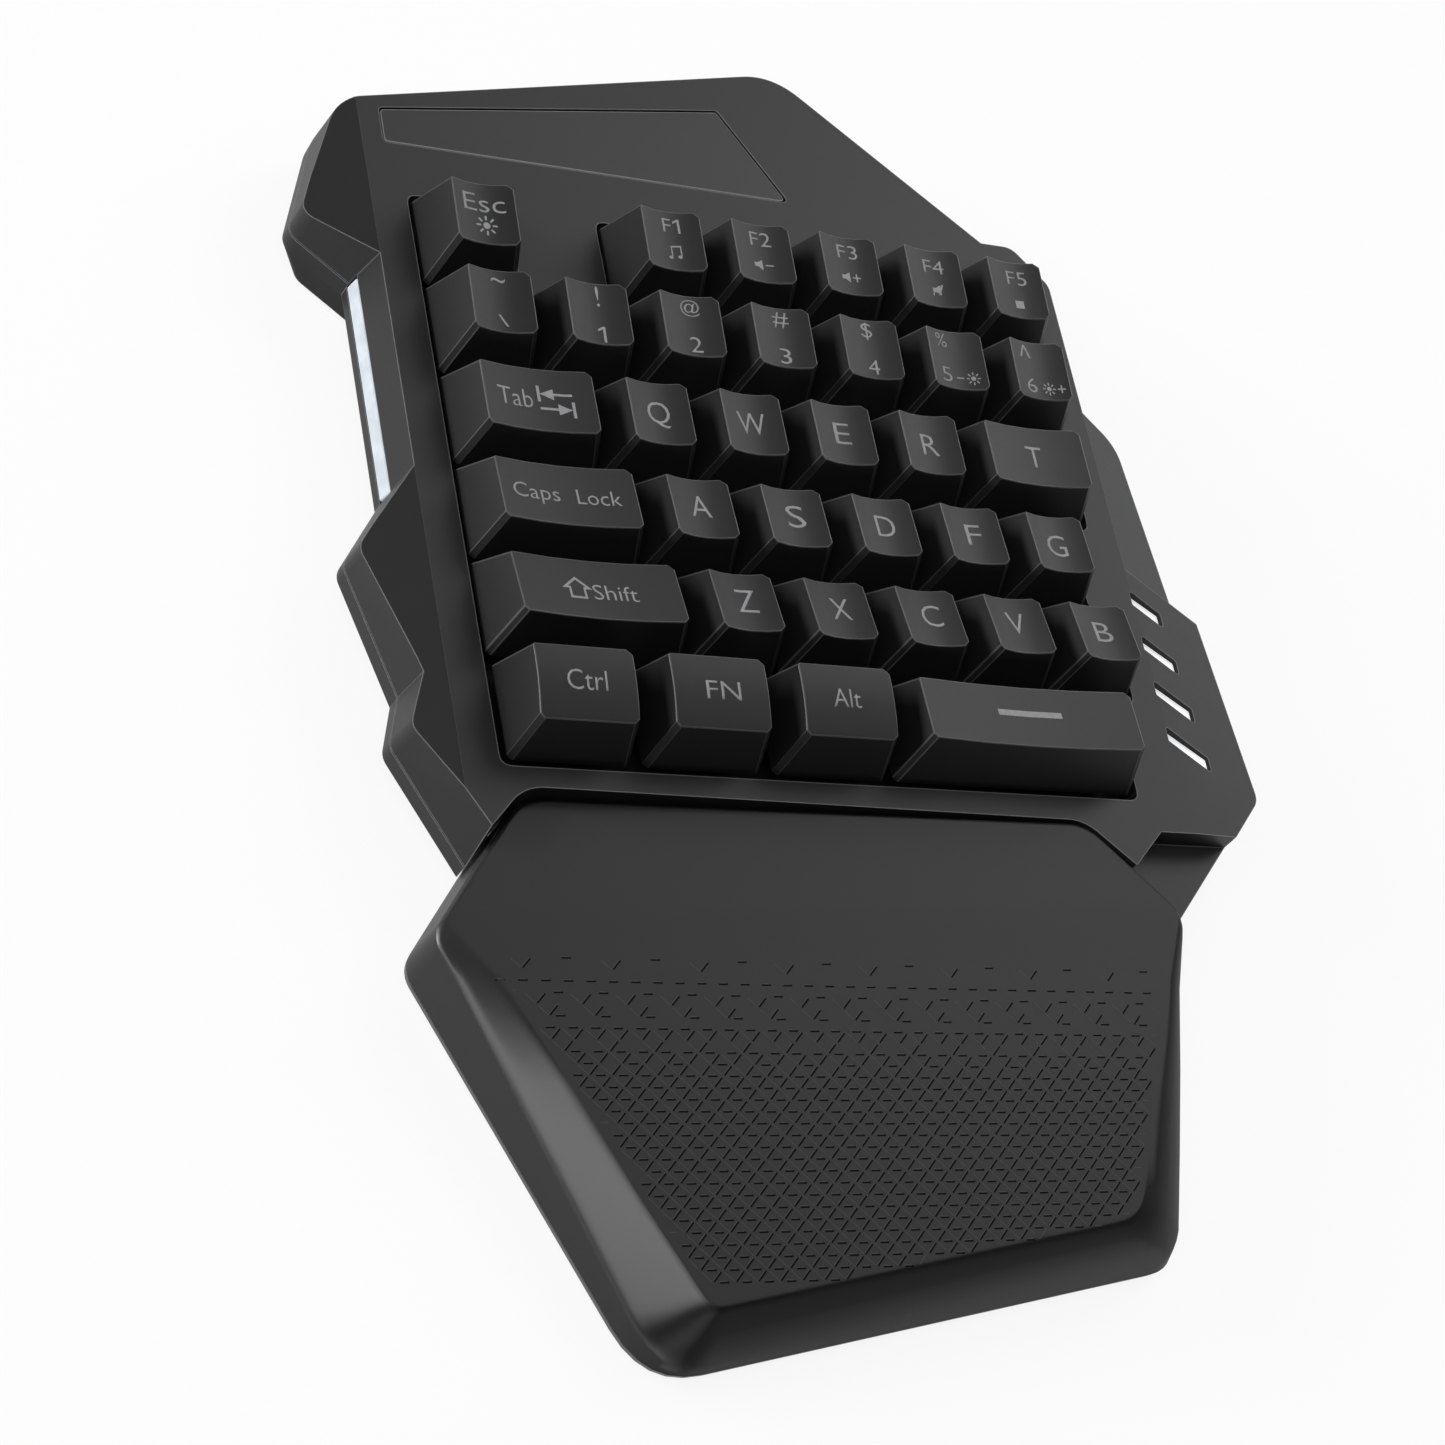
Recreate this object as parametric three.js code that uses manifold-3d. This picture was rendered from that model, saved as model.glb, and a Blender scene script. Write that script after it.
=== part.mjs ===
// One-handed keypad with a slide-on palm rest, as an assembly of its separate pieces.
// Millimetres, +Z up. X runs along the key rows to the right, Y from the palm rest to the rear.
// The plan is drawn from the front left corner of the key field. At the end the pieces are moved
// so that the origin is the middle of the footprint, on the desk.
import * as THREE from "three";
import { mergeVertices } from "three/addons/utils/BufferGeometryUtils.js";
import Module from "manifold-3d";

const wasm = await Module();
wasm.setup();

// Key field, seven keys wide at the standard keyboard pitch
const field_width = 133.35;
const field_columns = 7;
const field_rows = 6;
const key_unit = field_width / field_columns;
const field_depth = field_rows * key_unit;

// How far a key moves down, and how far its skirt then still is from the guide plate
const key_travel = 3.5;
const skirt_drop = 1;
const skirt_stop_gap = 1.6;

// Clearances and walls
const clearance = 0.3;
const overrun = 1;
const cover_wall = 2.2;
const floor_thickness = 1.8;
const deck_thickness = 2.4;
const corner_steps = 3;
const outer_corner_steps = 10;
const palm_corner_steps = 6;
const corner_reach_share = 0.45;

// Heights, stacked up from the desk
const foot_height = 1;
const foot_sink = 0.5;
const cover_underside = foot_height;
const floor_top = cover_underside + floor_thickness;
const support_plate_thickness = 0.8;
const support_plate_bottom = floor_top + clearance;
const membrane_thickness = 0.4;
const membrane_bottom = support_plate_bottom + support_plate_thickness + clearance;
const dome_sheet_thickness = 0.6;
const dome_sheet_bottom = membrane_bottom + membrane_thickness + clearance;
const dome_pressed_height = 0.7;
const dome_height = key_travel + dome_pressed_height;
const dome_base_radius = 4.4;
const dome_top_radius = 3;
const dome_wall = 0.6;
const dome_sides = 6;
const dome_top = dome_sheet_bottom + dome_sheet_thickness + dome_height;
const plunger_bottom = dome_top + clearance;
const plunger_foot_thickness = 1;
const guide_plate_thickness = 1.6;
const guide_plate_bottom = plunger_bottom + plunger_foot_thickness + clearance;
const guide_plate_top = guide_plate_bottom + guide_plate_thickness;
const guide_sleeve_height = 4.1;
const well_depth = skirt_drop + key_travel + skirt_stop_gap;
const deck_height = guide_plate_top + well_depth;
const deck_underside = deck_height - deck_thickness;
const seam_height = 8.3;
const bottom_cover_band = 3.5;

// Corner radii of the outlines
const sharp = 0;
const small_radius = 2;
const soft_radius = 4;
const medium_radius = 7;
const broad_radius = 9;
const toe_radius = 14;

// Keycaps
const cap_height = 11;
const skirt_gap = 0.4;
const cap_top_margin = 3.47;
const cap_wall = 1.3;
const cap_chamfers = { front_left: 0.85, front_right: 0.9, rear_right: 1.1, rear_left: 0.3 };
const cap_dish = 1.2;
const cap_crown = 0.6;
const thumb_cap_gap = 1.2;
const dish_steps = 4;
const plunger_width = 5.6;
const plunger_foot_width = 7.4;
const guide_sleeve_wall = 1.2;
const side_post_width = 3.4;
const side_post_reach_share = 0.31;

// Sculpting of each row, as shares of the key unit (shift, depth) and of the cap height (front, back)
const profile_shares = {
  function_row: { shift: 0.032, depth: 0.674, front: 1.012, back: 1.074 },
  number_row: { shift: 0.018, depth: 0.669, front: 1.045, back: 1.118 },
  upper_row: { shift: 0.008, depth: 0.682, front: 0.948, back: 0.955 },
  home_row: { shift: -0.004, depth: 0.664, front: 0.969, back: 0.886 },
  lower_row: { shift: -0.004, depth: 0.661, front: 1.055, back: 0.884 },
  thumb_row: { shift: 0.02, depth: 0.698, front: 0.928, back: 1.091, crowned: true },
  space_row: { shift: 0.024, depth: 0.651, front: 1.045, back: 0.989 },
};

// Keys of each row from the rear: name, then left edge and width as shares of the key unit
const row_key_shares = [
  ["function_row", [["esc", 0, 1], ["f1", 2, 1], ["f2", 3, 1], ["f3", 4, 1], ["f4", 5, 1], ["f5", 6, 1]]],
  ["number_row", ["backquote", "1", "2", "3", "4", "5", "6"].map((name, i) => [name, i, 1])],
  ["upper_row", [["tab", 0, 1.5], ["q", 1.5, 1], ["w", 2.5, 1], ["e", 3.5, 1], ["r", 4.5, 1],
    ["t", 5.5, 1.5]]],
  ["home_row", [["caps_lock", 0, 1.75], ["a", 1.75, 1], ["s", 2.75, 1], ["d", 3.75, 1], ["f", 4.75, 1],
    ["g", 5.75, 1]]],
  ["lower_row", [["shift", 0, 2], ["z", 2, 1], ["x", 3, 1], ["c", 4, 1], ["v", 5, 1], ["b", 6, 1]]],
  ["thumb_row", [["ctrl", 0, 4 / 3], ["fn", 4 / 3, 4 / 3], ["alt", 8 / 3, 4 / 3]]],
  ["space_row", [["space", 4, 2.75]]],
];
const side_post_width_share = 2;
const thumb_row_advance = 0.9;

// Well that the keys stand in
const well_margin = 0.5;
const well_front_margin = 1.95;
const well_rim_wall = 1.4;
const narrow_row_share = 6.75;

// Housing outline, from its front left corner round counterclockwise. Each corner has its place at
// the seam and at the deck, as shares of the field width and depth, and its radius.
const housing_shares = [
  [-0.0367, -0.1404, -0.0292, -0.1159, sharp],
  [0.024, -0.0518, 0.024, -0.05, broad_radius],
  [0.8661, -0.0608, 0.8661, -0.0582, broad_radius],
  [1.0109, -0.2165, 1.0086, -0.2122, sharp],
  [1.1871, -0.0022, 1.1833, -0.0004, soft_radius],
  [1.1624, 0.3408, 1.1594, 0.3382, small_radius],
  [1.1399, 0.3556, 1.1369, 0.3556, sharp],
  [1.1114, 0.6934, 1.1069, 0.6907, broad_radius],
  [1.0544, 0.7423, 1.0499, 0.7406, sharp],
  [1.0544, 1.0109, 1.0499, 1.0083, soft_radius],
  [1.0004, 1.0853, 0.9974, 1.0809, soft_radius],
  [0.9468, 1.0862, 0.9438, 1.0809, sharp],
  [0.6376, 1.3904, 0.6346, 1.3843, toe_radius],
  [-0.0885, 1.1859, -0.0825, 1.1815, broad_radius],
  [-0.1522, 0.968, -0.1522, 0.9663, soft_radius],
  [-0.0724, 0.8841, -0.057, 0.8823, sharp],
  [-0.0724, 0.479, -0.057, 0.4904, sharp],
  [-0.1425, 0.3591, -0.1417, 0.3521, soft_radius],
  [-0.093, 0.136, -0.0847, 0.1369, sharp],
  [-0.1147, 0.0521, -0.1095, 0.0494, soft_radius],
];
const corner_names = ["front_left", "recess_left", "recess_right", "shelf_front", "wing_front", "wing_rear",
  "facet_front", "facet_rear", "deck_right", "shoulder_right", "shoulder_rear", "rear_step", "rear_right",
  "rear_left", "left_wing_tip", "waist_rear", "waist_front", "left_wing_front_tip", "left_notch",
  "left_wing_front"];

// Sloping facets, fall per millimetre outwards, and the shelf beside the palm rest
const facet_fall_share = 0.28;
const facet_line_share = 0.4275;
const facet_line_fall_share = 0.73;
const wing_fall_share = 0.06;
const shelf_drop = 5;
const shelf_corner_shares = [0.9921, -0.0722];
const shelf_point_shares = [0.9301, -0.1409];

// Bottom cover: how far its underside tucks in, hardly at all in the recess for the palm rest, how far it
// flares out in front of the rear left wing, and the tray for the keys
const undercut = 4;
const wing_flare = 0.8;
const recess_undercut = 0.5;
const tray_wall = 1.4;

// Badge plate in the rear of the deck
const badge_shares = [[-0.0232, 1.1072], [0.6119, 1.1076], [0.5234, 1.2804], [-0.0225, 1.1711]];
const badge_thickness = 1;
const badge_sink = 0.15;
const badge_radius = 1;

// Light bar in the left waist
const bar_bottom = 7.6;
const bar_height = 3.4;
const bar_depth = 3;
const strip_thickness = 1;
const strip_skirt = 1.5;
const led_count = 6;
const led_width = 3;
const led_thickness = 0.7;

// Slanted slots in the right wing, each longer than the one behind it
const slot_count = 4;
const slot_start_shares = [1.0476, 0.385];
const slot_pitch_share = 0.0862;
const slot_length = 6.3;
const slot_growth = 0.75;
const slot_width = 3.2;
const slot_radius = 0.5;
const slot_fall_share = 0.72;
const slot_guide_sink = 1.15;
const slot_guide_margin = 1.2;
const slot_guide_thickness = 1.5;
const slot_rib_gap = 0.25;

// Screws, bosses and feet
const screw_shares = [[0.03, 1.0958], [0.81, 1.0936], [-0.0487, 0.27], [1.0799, 0.0087]];
const screw_head_radius = 2.8;
const screw_head_height = 1.6;
const screw_shank_radius = 1.4;
const screw_length = 11;
const cross_width = 0.8;
const cross_depth = 0.8;
const boss_radius = 3.2;
const cover_boss_radius = 4.2;
const cover_boss_height = 4;
const round_sides = 12;
const foot_shares = {
  foot_rear_left: [0.14, 1.15], foot_rear_right: [0.68, 1.17],
  foot_front_left: [0.045, 0.045], foot_front_right: [0.95, 0.045],
};
const foot_length = 16;
const foot_width = 7;

// Control board, the tail of the membrane that plugs in below it, and the cable inlet in the rear wall
const board_shares = [0.36, 1.1];
const board_length = 60;
const board_depth = 15;
const board_post_height = 2;
const board_post_inset = 3;
const board_post_width = 3;
const circuit_thickness = 1.6;
const chip_size = 9;
const chip_height = 1.4;
const socket_length = 14;
const socket_depth = 5;
const socket_height = 4;
const tail_width = 12;
const tail_lap = 3;
const gland_share = 0.52;
const gland_radius = 2.8;
const gland_bore_radius = 2;
const gland_flange_radius = 3.8;
const gland_flange_thickness = 1.2;
const gland_lip = 1.5;
const gland_height = 12.6;

// Palm rest. Its corners go from the rear left round counterclockwise: where the foot of its wall and
// the edge of its top face stand, as shares of the field width across and of its own length forward.
const palm_length = 97.7;
const palm_underside = 1.2;
const palm_base_thickness = 1.4;
const palm_height = 15.3;
const palm_gap = 0.4;
const palm_wall_lean = 0.8;
const palm_rear_lean = 0.2;
const palm_edge = 0.4;
const palm_base_tuck = 0.2;
const palm_ledge_width = 1.3;
const palm_ledge_drop = 1.3;
const palm_hollow_inset = 10;
const palm_hollow_ceiling = 10.8;
const palm_corner_shares = [
  { wall: [-0.1225, 0.264], top: [-0.0955, 0.23], wall_radius: broad_radius, top_radius: small_radius },
  { wall: [-0.0997, 0.335], top: [-0.0375, 0.331], wall_radius: sharp, top_radius: sharp },
  { wall: [-0.0382, 0.525], top: [0.033, 0.524], wall_radius: sharp, top_radius: sharp },
  { wall: [0.0268, 0.726], top: [0.102, 0.725], wall_radius: sharp, top_radius: sharp },
  { wall: [0.115, 1], top: [0.174, 0.913], wall_radius: toe_radius, top_radius: soft_radius, toe: true },
  { wall: [0.9215, 0.826], top: [0.8155, 0.776], wall_radius: medium_radius, top_radius: broad_radius,
    toe: true },
  { wall: [0.9456, 0.634], top: [0.8556, 0.639], wall_radius: sharp, top_radius: sharp },
  { wall: [0.969, 0.48], top: [0.9024, 0.48], wall_radius: sharp, top_radius: sharp },
  { wall: [0.9929, 0.323], top: [0.9486, 0.323], wall_radius: sharp, top_radius: sharp },
  { wall: [1.0191, 0.209], top: [0.9914, 0.187], wall_radius: soft_radius, top_radius: soft_radius },
];

// How high the upper edge of the left and the right wall and the edge of the top face are, as shares of
// the height at the rear left, over the way back from the front edge as a share of the length, and how
// far the top face rises over the field width. The band between wall and top face is flat on the left
// and bulges on the right.
const palm_profile_shares = [
  { back: 0, left: 0.27, right: 0.27, crown: 0.85, rise: 0.183 },
  { back: 0.08, left: 0.45, right: 0.53, crown: 0.9, rise: 0.183 },
  { back: 0.27, left: 0.6, right: 0.72, crown: 0.95, rise: 0.185 },
  { back: 0.47, left: 0.74, right: 0.88, crown: 0.98, rise: 0.19 },
  { back: 0.74, left: 0.95, right: 0.92, crown: 1.01, rise: 0.235 },
  { back: 1, left: 0.965, right: 0.95, crown: 1.02, rise: 0.27 },
];
const palm_roll_share = 0.2;
const palm_roll_steps = 4;
const tongue_shares = [0.22, 0.67];
const tongue_width = 12;
const tongue_reach = 3.5;
const tongue_root = 5;
const tongue_thickness = 1.8;
const tongue_bottom = 5.6;
const palm_foot_shares = { palm_foot_left: [0.22, 0.8], palm_foot_right: [0.76, 0.7] };
const palm_post_shares = [[0.12, 0.3], [0.84, 0.3]];
const palm_post_radius = 2.5;
const palm_post_height = 5;
const palm_socket_wall = 1.6;
const palm_screw_share = [0.48, 0.5];
const palm_screw_length = 8;

const finish = (color, roughness, metalness = 0) =>
  new THREE.MeshStandardMaterial({ color, roughness, metalness });
const black_shell = finish("#3a3a3b", 0.55);
const black_cap = finish("#2f2f30", 0.6);
const black_plate = finish("#2b2b2c", 0.4);
const milky_diffuser = finish("#e4e6ea", 0.35);
const black_guide = finish("#262627", 0.5);
const clear_silicone = finish("#c9ccc8", 0.6);
const printed_film = finish("#b7bcae", 0.4);
const plated_steel = finish("#9a9c9e", 0.35, 1);
const circuit_laminate = finish("#1d5a36", 0.5);
const black_rubber = finish("#202020", 0.9);

// Solids from three.js geometry, and meshes from solids

function solid(geometry) {
  geometry.deleteAttribute("normal");
  geometry.deleteAttribute("uv");
  const welded = mergeVertices(geometry);
  const vertProperties = welded.attributes.position.array;
  const triVerts = new Uint32Array(welded.index.array);
  return new wasm.Manifold(new wasm.Mesh({ numProp: 3, vertProperties, triVerts }));
}

const join = (first, ...others) => others.reduce((whole, other) => whole.add(other), first);
const cut = (first, ...others) => others.reduce((whole, other) => whole.subtract(other), first);

const keypad = new THREE.Group();

function addPiece(name, body, material) {
  const { numProp, vertProperties, triVerts } = body.getMesh();
  const geometry = new THREE.BufferGeometry();
  geometry.setAttribute("position", new THREE.BufferAttribute(vertProperties, numProp));
  geometry.setIndex(new THREE.BufferAttribute(triVerts, 1));
  geometry.computeVertexNormals();
  const piece = new THREE.Mesh(geometry, material);
  piece.name = name;
  keypad.add(piece);
  return piece;
}

// Rings of points [x, y, z], counterclockwise from above, skinned one to the next and closed by lids
function skin(rings, lid) {
  const count = rings[0].length;
  const flat = rings[0].map(([x, y]) => new THREE.Vector2(x, y));
  const last = (rings.length - 1) * count;
  const lidFaces = lid ?? THREE.ShapeUtils.triangulateShape(flat, []);
  const index = [];
  lidFaces.forEach(([a, b, c]) => index.push(c, b, a, last + a, last + b, last + c));
  for (let start = 0; start < last; start += count) {
    for (let i = 0; i < count; i += 1) {
      const a = start + i;
      const b = start + ((i + 1) % count);
      index.push(a, b, b + count, a, b + count, a + count);
    }
  }
  const geometry = new THREE.BufferGeometry();
  geometry.setAttribute("position", new THREE.Float32BufferAttribute(rings.flat(2), 3));
  geometry.setIndex(index);
  return solid(geometry);
}

const atHeight = (outline, z) => outline.map(([x, y]) => [x, y, z]);
const prism = (outline, low, high) => skin([atHeight(outline, low), atHeight(outline, high)]);

function box(x0, x1, y0, y1, z0, z1) {
  const block = new THREE.BoxGeometry(x1 - x0, y1 - y0, z1 - z0);
  return solid(block.translate((x0 + x1) / 2, (y0 + y1) / 2, (z0 + z1) / 2));
}

function post([x, y], radius, low, high) {
  const round = new THREE.CylinderGeometry(radius, radius, high - low, round_sides);
  return solid(round.rotateX(Math.PI / 2).translate(x, y, (low + high) / 2));
}

function centredBox([x, y], width, depth, low, high) {
  return box(x - width / 2, x + width / 2, y - depth / 2, y + depth / 2, low, high);
}

// Everything over a plan outline from the surface heightAt(x, y) up to past the deck
function above(outline, heightAt) {
  const lower = outline.map(([x, y]) => [x, y, heightAt(x, y)]);
  return skin([lower, atHeight(outline, deck_height + overrun)]);
}

// Outlines: corners are [x, y, radius]

function rounded(corners, steps = corner_steps) {
  const count = corners.length;
  return corners.flatMap(([x, y, radius], i) => {
    if (!radius) return [[x, y]];
    const corner = new THREE.Vector2(x, y);
    const toLast = new THREE.Vector2(...corners[(i + count - 1) % count]).sub(corner);
    const toNext = new THREE.Vector2(...corners[(i + 1) % count]).sub(corner);
    const half = toLast.angleTo(toNext) / 2;
    const longest = corner_reach_share * Math.min(toLast.length(), toNext.length());
    const reach = Math.min(radius / Math.tan(half), longest);
    const start = corner.clone().addScaledVector(toLast.normalize(), reach);
    const end = corner.clone().addScaledVector(toNext.normalize(), reach);
    const bend = new THREE.QuadraticBezierCurve(start, corner, end);
    return bend.getPoints(steps).map((point) => [point.x, point.y]);
  });
}

// Corners moved in from their edges by one distance, or by one for each edge, named by its first corner
function inset(corners, distances) {
  const count = corners.length;
  const distanceOf = (i) => (Array.isArray(distances) ? distances[i] : distances);
  return corners.map(([x, y, radius = sharp], i) => {
    const last = (i + count - 1) % count;
    const corner = new THREE.Vector2(x, y);
    const before = corner.clone().sub(new THREE.Vector2(...corners[last])).normalize();
    const after = new THREE.Vector2(...corners[(i + 1) % count]).sub(corner).normalize();
    const [distance, next_distance] = [distanceOf(last), distanceOf(i)];
    const inward = new THREE.Vector2(-before.y - after.y, before.x + after.x);
    corner.addScaledVector(inward, distance / (1 + before.dot(after)));
    if (next_distance !== distance) {
      corner.addScaledVector(before, (distance - next_distance) / before.cross(after));
    }
    return [corner.x, corner.y, radius];
  });
}

const place = ([x, y]) => [x * field_width, y * field_depth];

const seam_corners = housing_shares.map(([x, y, , , radius]) => [...place([x, y]), radius]);
const deck_corners = housing_shares.map(([, , x, y, radius]) => [...place([x, y]), radius]);
const seamCorner = (name) => seam_corners[corner_names.indexOf(name)];
const deckCorner = (name) => deck_corners[corner_names.indexOf(name)];

const [waist_x] = deckCorner("waist_rear");
const [deck_right_x] = deckCorner("deck_right");
const screw_places = screw_shares.map(place);
const top_cover_bottom = seam_height + clearance;

// Keycaps with their plungers

const skirt_bottom = deck_height - skirt_drop;
const guide_hole_width = plunger_width + 2 * clearance;
const post_hole_width = side_post_width + 2 * clearance;

const keys = row_key_shares.flatMap(([profile, row], index) => {
  const rows_ahead = Math.max(field_rows - 1 - index, 0);
  const centre_y = (rows_ahead + 1 / 2) * key_unit - (rows_ahead ? 0 : thumb_row_advance);
  return row.map(([name, left, width]) => {
    const centre = [(left + width / 2) * key_unit, centre_y];
    const reach = width * key_unit * side_post_reach_share;
    const side_posts = width >= side_post_width_share
      ? [[centre[0] - reach, centre[1]], [centre[0] + reach, centre[1]]]
      : [];
    return { name: `key_${name}`, centre, width: width * key_unit, side_posts, ...profile_shares[profile] };
  });
});

// Ring round a cap at one level. A dished cap has its steps along X, a crowned one along Y.
function capRing({ x0, x1, y0, y1 }, crowned, heightAt) {
  const { front_left, front_right, rear_right, rear_left } = cap_chamfers;
  const [a0, a1, b0, b1] = crowned ? [y0, y1, x0, x1] : [x0, x1, y0, y1];
  const [near, far] = crowned ? [rear_left, front_right] : [front_right, rear_left];
  const stations = (first, last) => Array.from({ length: dish_steps + 1 }, (_, i) =>
    THREE.MathUtils.lerp(a0 + first, a1 - last, i / dish_steps));
  const ring = [
    ...stations(front_left, near).map((a) => [a, b0]), [a1, b0 + near], [a1, b1 - rear_right],
    ...stations(far, rear_right).map((a) => [a, b1]).reverse(), [a0, b1 - far], [a0, b0 + front_left],
  ];
  const turned = crowned ? ring.map(([a, b]) => [b, a]).reverse() : ring;
  return turned.map(([x, y]) => [x, y, heightAt(x, y)]);
}

function capLid(crowned) {
  const n = dish_steps;
  const quads = Array.from({ length: n }, (_, i) => [i, i + 1, 2 * n + 2 - i, 2 * n + 3 - i]);
  quads.push([n, n + 1, n + 2, n + 3], [2 * n + 5, 0, 2 * n + 3, 2 * n + 4]);
  const faces = quads.flatMap(([a, b, c, d]) => [[a, b, c], [a, c, d]]);
  return crowned ? faces.map((face) => face.map((i) => 2 * n + 5 - i).reverse()) : faces;
}

function keycap({ centre: [x, y], width, shift, depth, front, back, crowned = false, side_posts }) {
  const side_gap = crowned ? thumb_cap_gap : skirt_gap;
  const skirt = {
    x0: x - width / 2 + side_gap, x1: x + width / 2 - side_gap,
    y0: y - key_unit / 2 + skirt_gap, y1: y + key_unit / 2 - skirt_gap,
  };
  const top = {
    x0: x - width / 2 + cap_top_margin, x1: x + width / 2 - cap_top_margin,
    y0: y + (shift - depth / 2) * key_unit, y1: y + (shift + depth / 2) * key_unit,
  };
  const slope = (front_share, back_share, y_at) =>
    cap_height * THREE.MathUtils.mapLinear(y_at, top.y0, top.y1, front_share, back_share);
  const topHeight = (px, py) => {
    const across = (px - x) / (top.x1 - x);
    const along = (py - (top.y0 + top.y1) / 2) / ((top.y1 - top.y0) / 2);
    const bow = crowned ? cap_crown * (1 - along * along) : cap_dish * (across * across - 1);
    return skirt_bottom + slope(front, back, py) + bow;
  };
  const hollowRing = ({ x0, x1, y0, y1 }, heightAt) => {
    const [a, b, c, d] = [x0 + cap_wall, x1 - cap_wall, y0 + cap_wall, y1 - cap_wall];
    return [[a, c], [b, c], [b, d], [a, d]].map(([px, py]) => [px, py, heightAt(py)]);
  };
  const outside = skin([
    capRing(skirt, crowned, () => skirt_bottom),
    capRing(top, crowned, topHeight),
  ], capLid(crowned));
  const inside = skin([
    hollowRing(skirt, () => skirt_bottom - overrun),
    hollowRing(skirt, () => skirt_bottom),
    hollowRing(top, (py) => topHeight(x, py) - cap_wall),
  ]);
  const shell = cut(outside, inside);
  const reachUp = (px, py) => topHeight(px, py) - cap_wall / 2;
  const stem = centredBox([x, y], plunger_width, plunger_width, plunger_bottom, reachUp(x, y));
  const foot_top = plunger_bottom + plunger_foot_thickness;
  const foot = centredBox([x, y], plunger_foot_width, plunger_foot_width, plunger_bottom, foot_top);
  const posts = side_posts.map((at) =>
    centredBox(at, side_post_width, side_post_width, guide_plate_bottom, reachUp(...at)));
  return join(shell, stem, foot, ...posts);
}

keys.forEach((key) => addPiece(key.name, keycap(key), black_cap));

// Top cover

const well_right = field_width + well_margin;
const narrow_right = narrow_row_share * key_unit + well_margin;
const well_rear = field_depth + well_margin;
const bridge_front = field_depth - key_unit + well_margin;
const well_corners = [
  [-well_margin, -well_front_margin], [narrow_right, -well_front_margin],
  [narrow_right, key_unit - well_margin], [well_right, key_unit - well_margin],
  [well_right, 2 * key_unit + well_margin], [narrow_right, 2 * key_unit + well_margin],
  [narrow_right, 3 * key_unit - well_margin], [well_right, 3 * key_unit - well_margin],
  [well_right, well_rear], [2 * key_unit - well_margin, well_rear],
  [2 * key_unit - well_margin, bridge_front], [key_unit + well_margin, bridge_front],
  [key_unit + well_margin, well_rear], [-well_margin, well_rear],
].map(([x, y]) => [x, y, small_radius]);

const shelf_corner = place(shelf_corner_shares);
const shelf_point = place(shelf_point_shares);
const facet_line_y = facet_line_share * field_depth;
const far_right = 2 * field_width;
const far_left = -field_width;
const far_rear = 2 * field_depth;
const far_front = -field_depth;
const facetLineAt = (x) => facet_line_y - facet_line_fall_share * (x - deck_right_x);

const recess_y = deckCorner("recess_left")[1];
const rear_wall_start = new THREE.Vector2(...deckCorner("rear_left"));
const rear_wall_end = new THREE.Vector2(...deckCorner("rear_right"));
const rear_wall_angle = rear_wall_end.clone().sub(rear_wall_start).angle();
const rearWallAt = (x) => rear_wall_start.y + (x - rear_wall_start.x) * Math.tan(rear_wall_angle);

const [shelf_front_x, shelf_front_y] = deckCorner("shelf_front");
const [wing_front_x, wing_front_y] = deckCorner("wing_front");
const wing_front_slope = (wing_front_x - shelf_front_x) / (wing_front_y - shelf_front_y);
const shelf_end_x = shelf_front_x + (shelf_corner[1] - shelf_front_y) * wing_front_slope;

// Deck-level part of the housing, without the two facets, for the deeper of the two hollows
const core_corners = [
  [waist_x, recess_y], deckCorner("recess_right"), shelf_point, shelf_corner,
  [shelf_end_x, shelf_corner[1]], deckCorner("wing_front"), deckCorner("wing_rear"),
  [deck_right_x, facet_line_y], deckCorner("shoulder_right"), deckCorner("shoulder_rear"),
  deckCorner("rear_step"), deckCorner("rear_right"), [waist_x, rearWallAt(waist_x)],
];
const facet_ceiling = top_cover_bottom + (deck_height - top_cover_bottom) / 2 - overrun;

const badge_corners = badge_shares.map(place).map(([x, y]) => [x, y, badge_radius]);
const badge_top = deck_height - badge_sink;
const badge_bottom = badge_top - badge_thickness;

const slots = Array.from({ length: slot_count }, (_, i) => {
  const [x, rear_y] = place(slot_start_shares);
  const y = rear_y - i * slot_pitch_share * field_depth;
  const length = slot_length + i * slot_growth;
  const fall = length * slot_fall_share;
  const corners = [[x, y - slot_width], [x + length, y - slot_width - fall], [x + length, y - fall], [x, y]];
  return corners.map((corner) => [...corner, slot_radius]);
});

// The waist wall leans out from the deck to the seam, and the light bar carries its slope on
const waist_lean_share = (waist_x - seamCorner("waist_rear")[0]) / (deck_height - top_cover_bottom);
const waistFaceAt = (z) => waist_x - (deck_height - z) * waist_lean_share;
const bar_top = bar_bottom + bar_height;
const bar_back = waistFaceAt(bar_bottom) + bar_depth;
const bar_front_y = seamCorner("waist_front")[1];
const bar_rear_y = seamCorner("waist_rear")[1];
const bar_pocket = box(far_left, bar_back + clearance, bar_front_y, bar_rear_y,
  bar_bottom - clearance, bar_top + clearance);

// Pieces that run out through the rear wall are made along Y and turned square to that wall
const gland_place = rear_wall_start.clone().lerp(rear_wall_end, gland_share);

function throughRearWall(geometry) {
  return solid(geometry.rotateZ(rear_wall_angle).translate(gland_place.x, gland_place.y, gland_height));
}

// A screw comes up from an underside, through a boss of the lower part and into one of the upper part
const head_top = (underside) => underside + screw_head_height;
const boss_top = (underside) => underside + cover_boss_height;

function lowerScrewHole(at, underside) {
  const head_radius = screw_head_radius + clearance;
  const head_hole = post(at, head_radius, underside - overrun, head_top(underside) + clearance);
  return join(head_hole, post(at, screw_shank_radius + clearance, underside, boss_top(underside) + overrun));
}

function upperBoss(at, underside, length, ceiling) {
  const boss = post(at, boss_radius, boss_top(underside) + clearance, ceiling + overrun / 2);
  return cut(boss, post(at, screw_shank_radius + clearance, 0, underside + length + clearance));
}

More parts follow.
